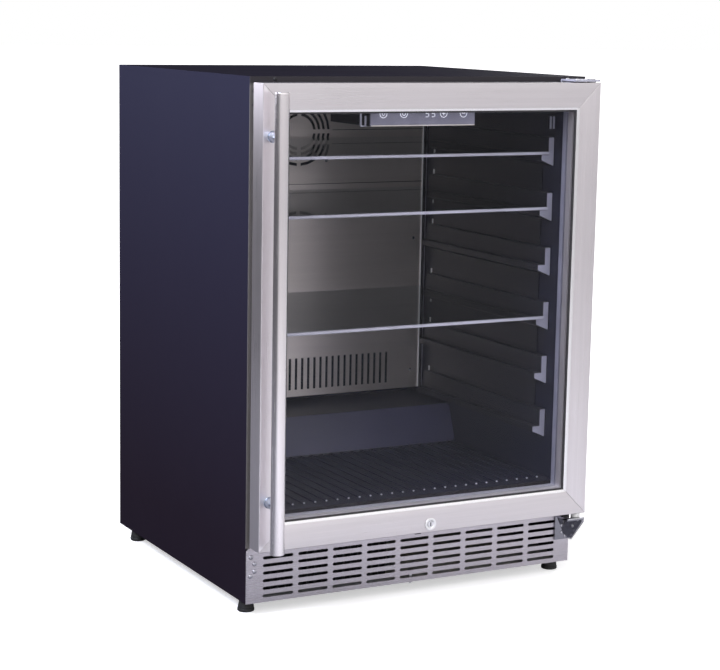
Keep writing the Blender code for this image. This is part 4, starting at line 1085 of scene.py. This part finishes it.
def compressor_pot():
    """Welded steel pot with its foot plate and terminal cover."""
    low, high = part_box("compressor")
    centre = middle("compressor")
    height = high.z - low.z
    seam = height * 0.55
    radius, cap, lap, flange, half_flange, shoulder = mm(67, 30, 1, 2.5, 3, 4)
    upper = radius - lap
    quarter = [math.pi / 2 * i / 10 for i in range(11)]
    profile = [(0, 0)]
    profile += [(radius * math.sin(a), cap * (1 - math.cos(a))) for a in quarter[1:]]
    profile += [(radius, seam - shoulder), (radius + flange, seam - half_flange)]
    profile += [(radius + flange, seam + half_flange), (upper, seam + shoulder)]
    profile += [(upper * math.cos(a), height - cap + cap * math.sin(a)) for a in quarter[:-1]]
    profile.append((0, height))
    bm = turned(profile, (centre.x, centre.y, low.z), UP, 64)
    half_x, half_y, corner, under, thick = mm(84, 39, 12, 14, 3.5)
    corners = [(centre.x + side * half_x, centre.y + side * half_y) for side in (-1, 1)]
    foot = low.z + under
    outline = rounded_outline(*corners, corner)
    absorb(bm, plate(outline, foot, foot + thick, 0.6 * MM, lying))
    half, near, far, foot, top = mm(24, 62, 79, 50, 100)
    box_low = (centre.x - half, centre.y + near, low.z + foot)
    box_high = (centre.x + half, centre.y + far, low.z + top)
    absorb(bm, block(box_low, box_high, 4 * MM, 3))
    piece("compressor_pot", bm, ENAMEL, "cabinet", ("compressor",))


def compressor_grommets():
    """Rubber buffers under and over the foot plate."""
    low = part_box("compressor")[0]
    centre = middle("compressor")
    shape = scaled(((0, 0), (9, 0), (9.5, 1), (9.5, 5), (7, 7), (7, 9), (9.5, 11), (9.5, 13.5), (0, 13.5)))
    grommets = bmesh.new()
    for x in mm(-72, 72):
        for y in mm(-28, 28):
            absorb(grommets, turned(shape, (centre.x + x, centre.y + y, low.z), UP, 24))
    piece("compressor_grommets", grommets, FOOT_RUBBER)


TUBE_ROUTES = (  # millimetres from the middle of the pot's top
    ((60, 10, -60), (84, 14, -52), (100, 20, -70), (104, 34, -110), (150, 44, -118)),
    ((58, -14, -50), (80, -20, -34), (92, -24, -20), (130, -20, -8), (200, 20, -6)),
    ((-20, -60, -60), (-24, -76, -52), (-60, -84, -90), (-66, -88, -134)),
)


def compressor_tubes():
    """Copper stubs of the suction, pressure and filling pipes."""
    top = Vector((*middle("compressor").xy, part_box("compressor")[1].z))
    tubes = bmesh.new()
    for route in TUBE_ROUTES:
        path = smoothed([top + Vector(point) for point in scaled(route)], 6)
        absorb(tubes, pipe(path, 3.2 * MM))
    piece("compressor_tubes", tubes, COPPER)


def coil_bends(name, node, rows, look):
    """Return bends of the copper tube at both ends of a finned coil."""
    low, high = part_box(node)
    y = middle(node).y
    pitch = (high.z - low.z) / rows
    half = pitch / 2
    clear, radius = mm(2, 3.5)
    bends = bmesh.new()
    for side, x in ((-1, low.x), (1, high.x)):
        for i in range(0 if side > 0 else 1, rows - 1, 2):
            z = low.z + (i + 0.5) * pitch
            bend = [(x + side * (clear + u), z + half + v) for u, v in arc(half, -90, 90, 10)]
            path = [(x, z), *bend, (x, z + pitch)]
            absorb(bends, pipe([Vector((u, y, v)) for u, v in path], radius))
    piece(name, bends, look)


FOOT_OUTLINE = (  # (radius, height) in millimetres: pad, groove and tapered neck
    (0, 0), (11.5, 0), (12.6, 0.4), (13.4, 1.4), (13.4, 4.6), (12.8, 5.4), (12.2, 5.6), (12.2, 6.4),
    (12.6, 6.8), (11.2, 15.0), (9.8, 17.6), (9.0, 18.0), (4.0, 18.0),
)
THREAD_START, THREAD_PITCH, THREAD_TURNS, STEM_TOP = 18.0, 1.5, 17, 45.0  # also millimetres
CREST, ROOT = 3.95, 3.4  # radii of the thread


def feet():
    """Rubber-padded levelling feet on threaded stems."""
    starts = [THREAD_START + THREAD_PITCH * i for i in range(THREAD_TURNS)]
    thread = [spot for z in starts for spot in ((CREST, z + 0.3), (ROOT, z + 0.9), (CREST, z + 1.5))]
    outline = scaled((*FOOT_OUTLINE, *thread, (ROOT, STEM_TOP), (0, STEM_TOP)))
    for word in ("front_left", "front_right", "rear_left", "rear_right"):
        node = f"foot_{word}"
        base = (*middle(node).xy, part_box(node)[0].z)
        bm = turned(outline, base, UP, 48)
        piece(f"levelling_{word}", bm, FOOT_RUBBER, NODES[node]["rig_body"], (node,))


def shared_out(start, end, count):
    """Evenly spaced places from start to end."""
    return [start + i * (end - start) / (count - 1) for i in range(count)]


def back_details():
    """Screws round the back cover and the machinery grille."""
    low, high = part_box("back_panel")
    y = high.y
    inset = 9 * MM
    heights = shared_out(low.z + inset, high.z - inset, 5)
    spots = [(x, y, z) for x in (low.x + inset, high.x - inset) for z in heights]
    spots += [(x, y, high.z - inset) for x in shared_out(low.x, high.x, 5)[1:-1]]
    screws("back_screws", spots, TO_BACK, 3.6 * MM, SCREW_STEEL, 33)
    low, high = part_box("rear_grille")
    across = shared_out(low.x + inset, high.x - inset, 4)
    spots = [(x, y, z) for z in (high.z - 6 * MM, low.z + 6 * MM) for x in across]
    screws("grille_screws", spots, TO_BACK, 3.6 * MM, SCREW_STEEL, 27)


EASED = (  # the starts of CAD nodes' names and how wide their edges are eased, in millimetres
    ("side_panel", 0.5), ("top_panel", 0.5), ("door_stile", 0.45), ("door_rail_top", 0.45),
    ("door_rail_bottom", 0.45), ("shelf_glass", 0.7), ("control_box", 0.8), ("control_fascia", 0.5),
    ("temperature_probe", 0.4), ("condenser_fan_shroud", 0.8), ("drip_tray", 0.8),
)


def eased_nodes():
    """Panels, door frame and other plain parts with their edges eased."""
    for start, width in EASED:
        for name in NODES:
            if name.startswith(start):
                softened(name, width * MM)


handle()
handle_collars()
gasket()
lock_face()
keeper_cup()
glass_seal()
door_bumper()
hinge_details()
hinge_rim_highlights()
case_fasteners()
drain_spout()
rack_fittings()
rack_clip()
rib_nose_highlights()
hump_cover()
duct_details()
control_face()
lamp_lenses()
fan("evaporator_fan_moulding", "evaporator_fan", 0.33, "evaporator_rotor")
fan("condenser_fan_moulding", "condenser_fan", 0.38, "condenser_rotor")
compressor_pot()
compressor_grommets()
compressor_tubes()
coil_bends("condenser_bends", "condenser_coil", 4, DARK_FINS)
coil_bends("evaporator_bends", "evaporator_coil", 8, COPPER)
feet()
back_details()
eased_nodes()


# -------- lights and floor
def add_area(name, place, target, size, power, colour=(1, 1, 1)):
    data = bpy.data.lights.new(name, "AREA")
    data.shape = "RECTANGLE"
    data.size, data.size_y = size
    data.energy = power
    data.color = colour
    lamp = added(name, data)
    lamp.location = place
    lamp.rotation_euler = (Vector(target) - Vector(place)).to_track_quat("-Z", "Y").to_euler()
    lamp.visible_camera = False


WORLD_BACK = (0.11, 0.11, 0.13)
WORLD_FRONT = (1.12, 1.10, 1.12)
WALL_EDGE, WALL_CORE = 0.35, -0.65  # Y of the directions where the bright wall begins and is brightest
FLOOR_DARK = (0.16, 0.16, 0.17)  # what the floor throws back at the object behind and to the left
FLOOR_PALE = (0.95, 0.94, 0.95)  # and in front
FLOOR_GLOW_NEAR = 0.3  # metres from the object at which the floor starts to fade into the backdrop
FLOOR_GLOW_FAR = 1.2


def add_world(scene):
    """White to the camera; as a light, a bright wall in front that darkens towards the back."""
    scene.world = bpy.data.worlds.new("studio")
    sky = Shading(scene.world)
    way = sky.add("ShaderNodeTexCoord").outputs["Generated"]
    back = sky.add("ShaderNodeSeparateXYZ", {0: way}).outputs[1]
    spread = {0: back, 1: WALL_EDGE, 2: WALL_CORE, 3: 0.0, 4: 1.0}
    front = sky.add("ShaderNodeMapRange", spread, interpolation_type="SMOOTHSTEP").outputs[0]
    lit = sky.mix(front, WORLD_BACK, WORLD_FRONT)
    seen = sky.add("ShaderNodeLightPath").outputs["Is Camera Ray"]
    sky.feed(sky.tree.nodes["Background"].inputs[0], sky.mix(seen, lit, (1, 1, 1)))


def add_floor():
    """Pale floor that keeps a soft shadow near the object and fades into the backdrop."""
    bm = bmesh.new()
    bmesh.ops.create_grid(bm, x_segments=1, y_segments=1, size=40)
    floor = added("studio_floor", mesh_of(bm, "studio_floor"))
    look = Look("studio_floor", "none")
    right = look.maths("MULTIPLY", look.axes()[0], 0.5)
    ahead = look.maths("MULTIPLY", look.axes()[1], -0.87)
    lit = look.span(look.maths("ADD", right, ahead), 0.0, 1.0, (-0.1, 0.7))
    seen = look.add("ShaderNodeLightPath").outputs["Is Camera Ray"]
    bounce = look.mix(lit, FLOOR_DARK, FLOOR_PALE)
    look.set(Base_Color=look.mix(seen, bounce, (0.86, 0.86, 0.86)), Roughness=0.8, Specular_IOR_Level=0.1)
    length = look.add("ShaderNodeVectorMath", {0: look.place}, operation="LENGTH")
    fade = look.span(length.outputs["Value"], 0.5, 1.0, (FLOOR_GLOW_NEAR, FLOOR_GLOW_FAR))
    look.glow((1, 1, 1), look.maths("MULTIPLY", fade, seen))
    floor.data.materials.append(look.material)


def add_studio():
    scene = bpy.context.scene
    scene.view_settings.view_transform = "Standard"
    add_world(scene)
    add_floor()
    heart = (0, 0, 0.45)  # the middle of the object, roughly
    add_area("key_box", (-0.6, -3.4, 2.6), heart, (3.0, 1.8), 30)
    add_area("left_box", (-1.7, -0.5, 1.75), (0, 0, 0.85), (1.0, 0.8), 36, (0.88, 0.93, 1.14))
    add_area("side_box", (-1.6, 1.5, 1.3), (-0.3, 0.0, 0.6), (1.2, 1.2), 17, (0.96, 0.95, 1.06))
    add_area("rear_box", (3.2, 2.4, 1.6), heart, (2.0, 2.0), 40)


paint_nodes()
add_camera()
add_studio()
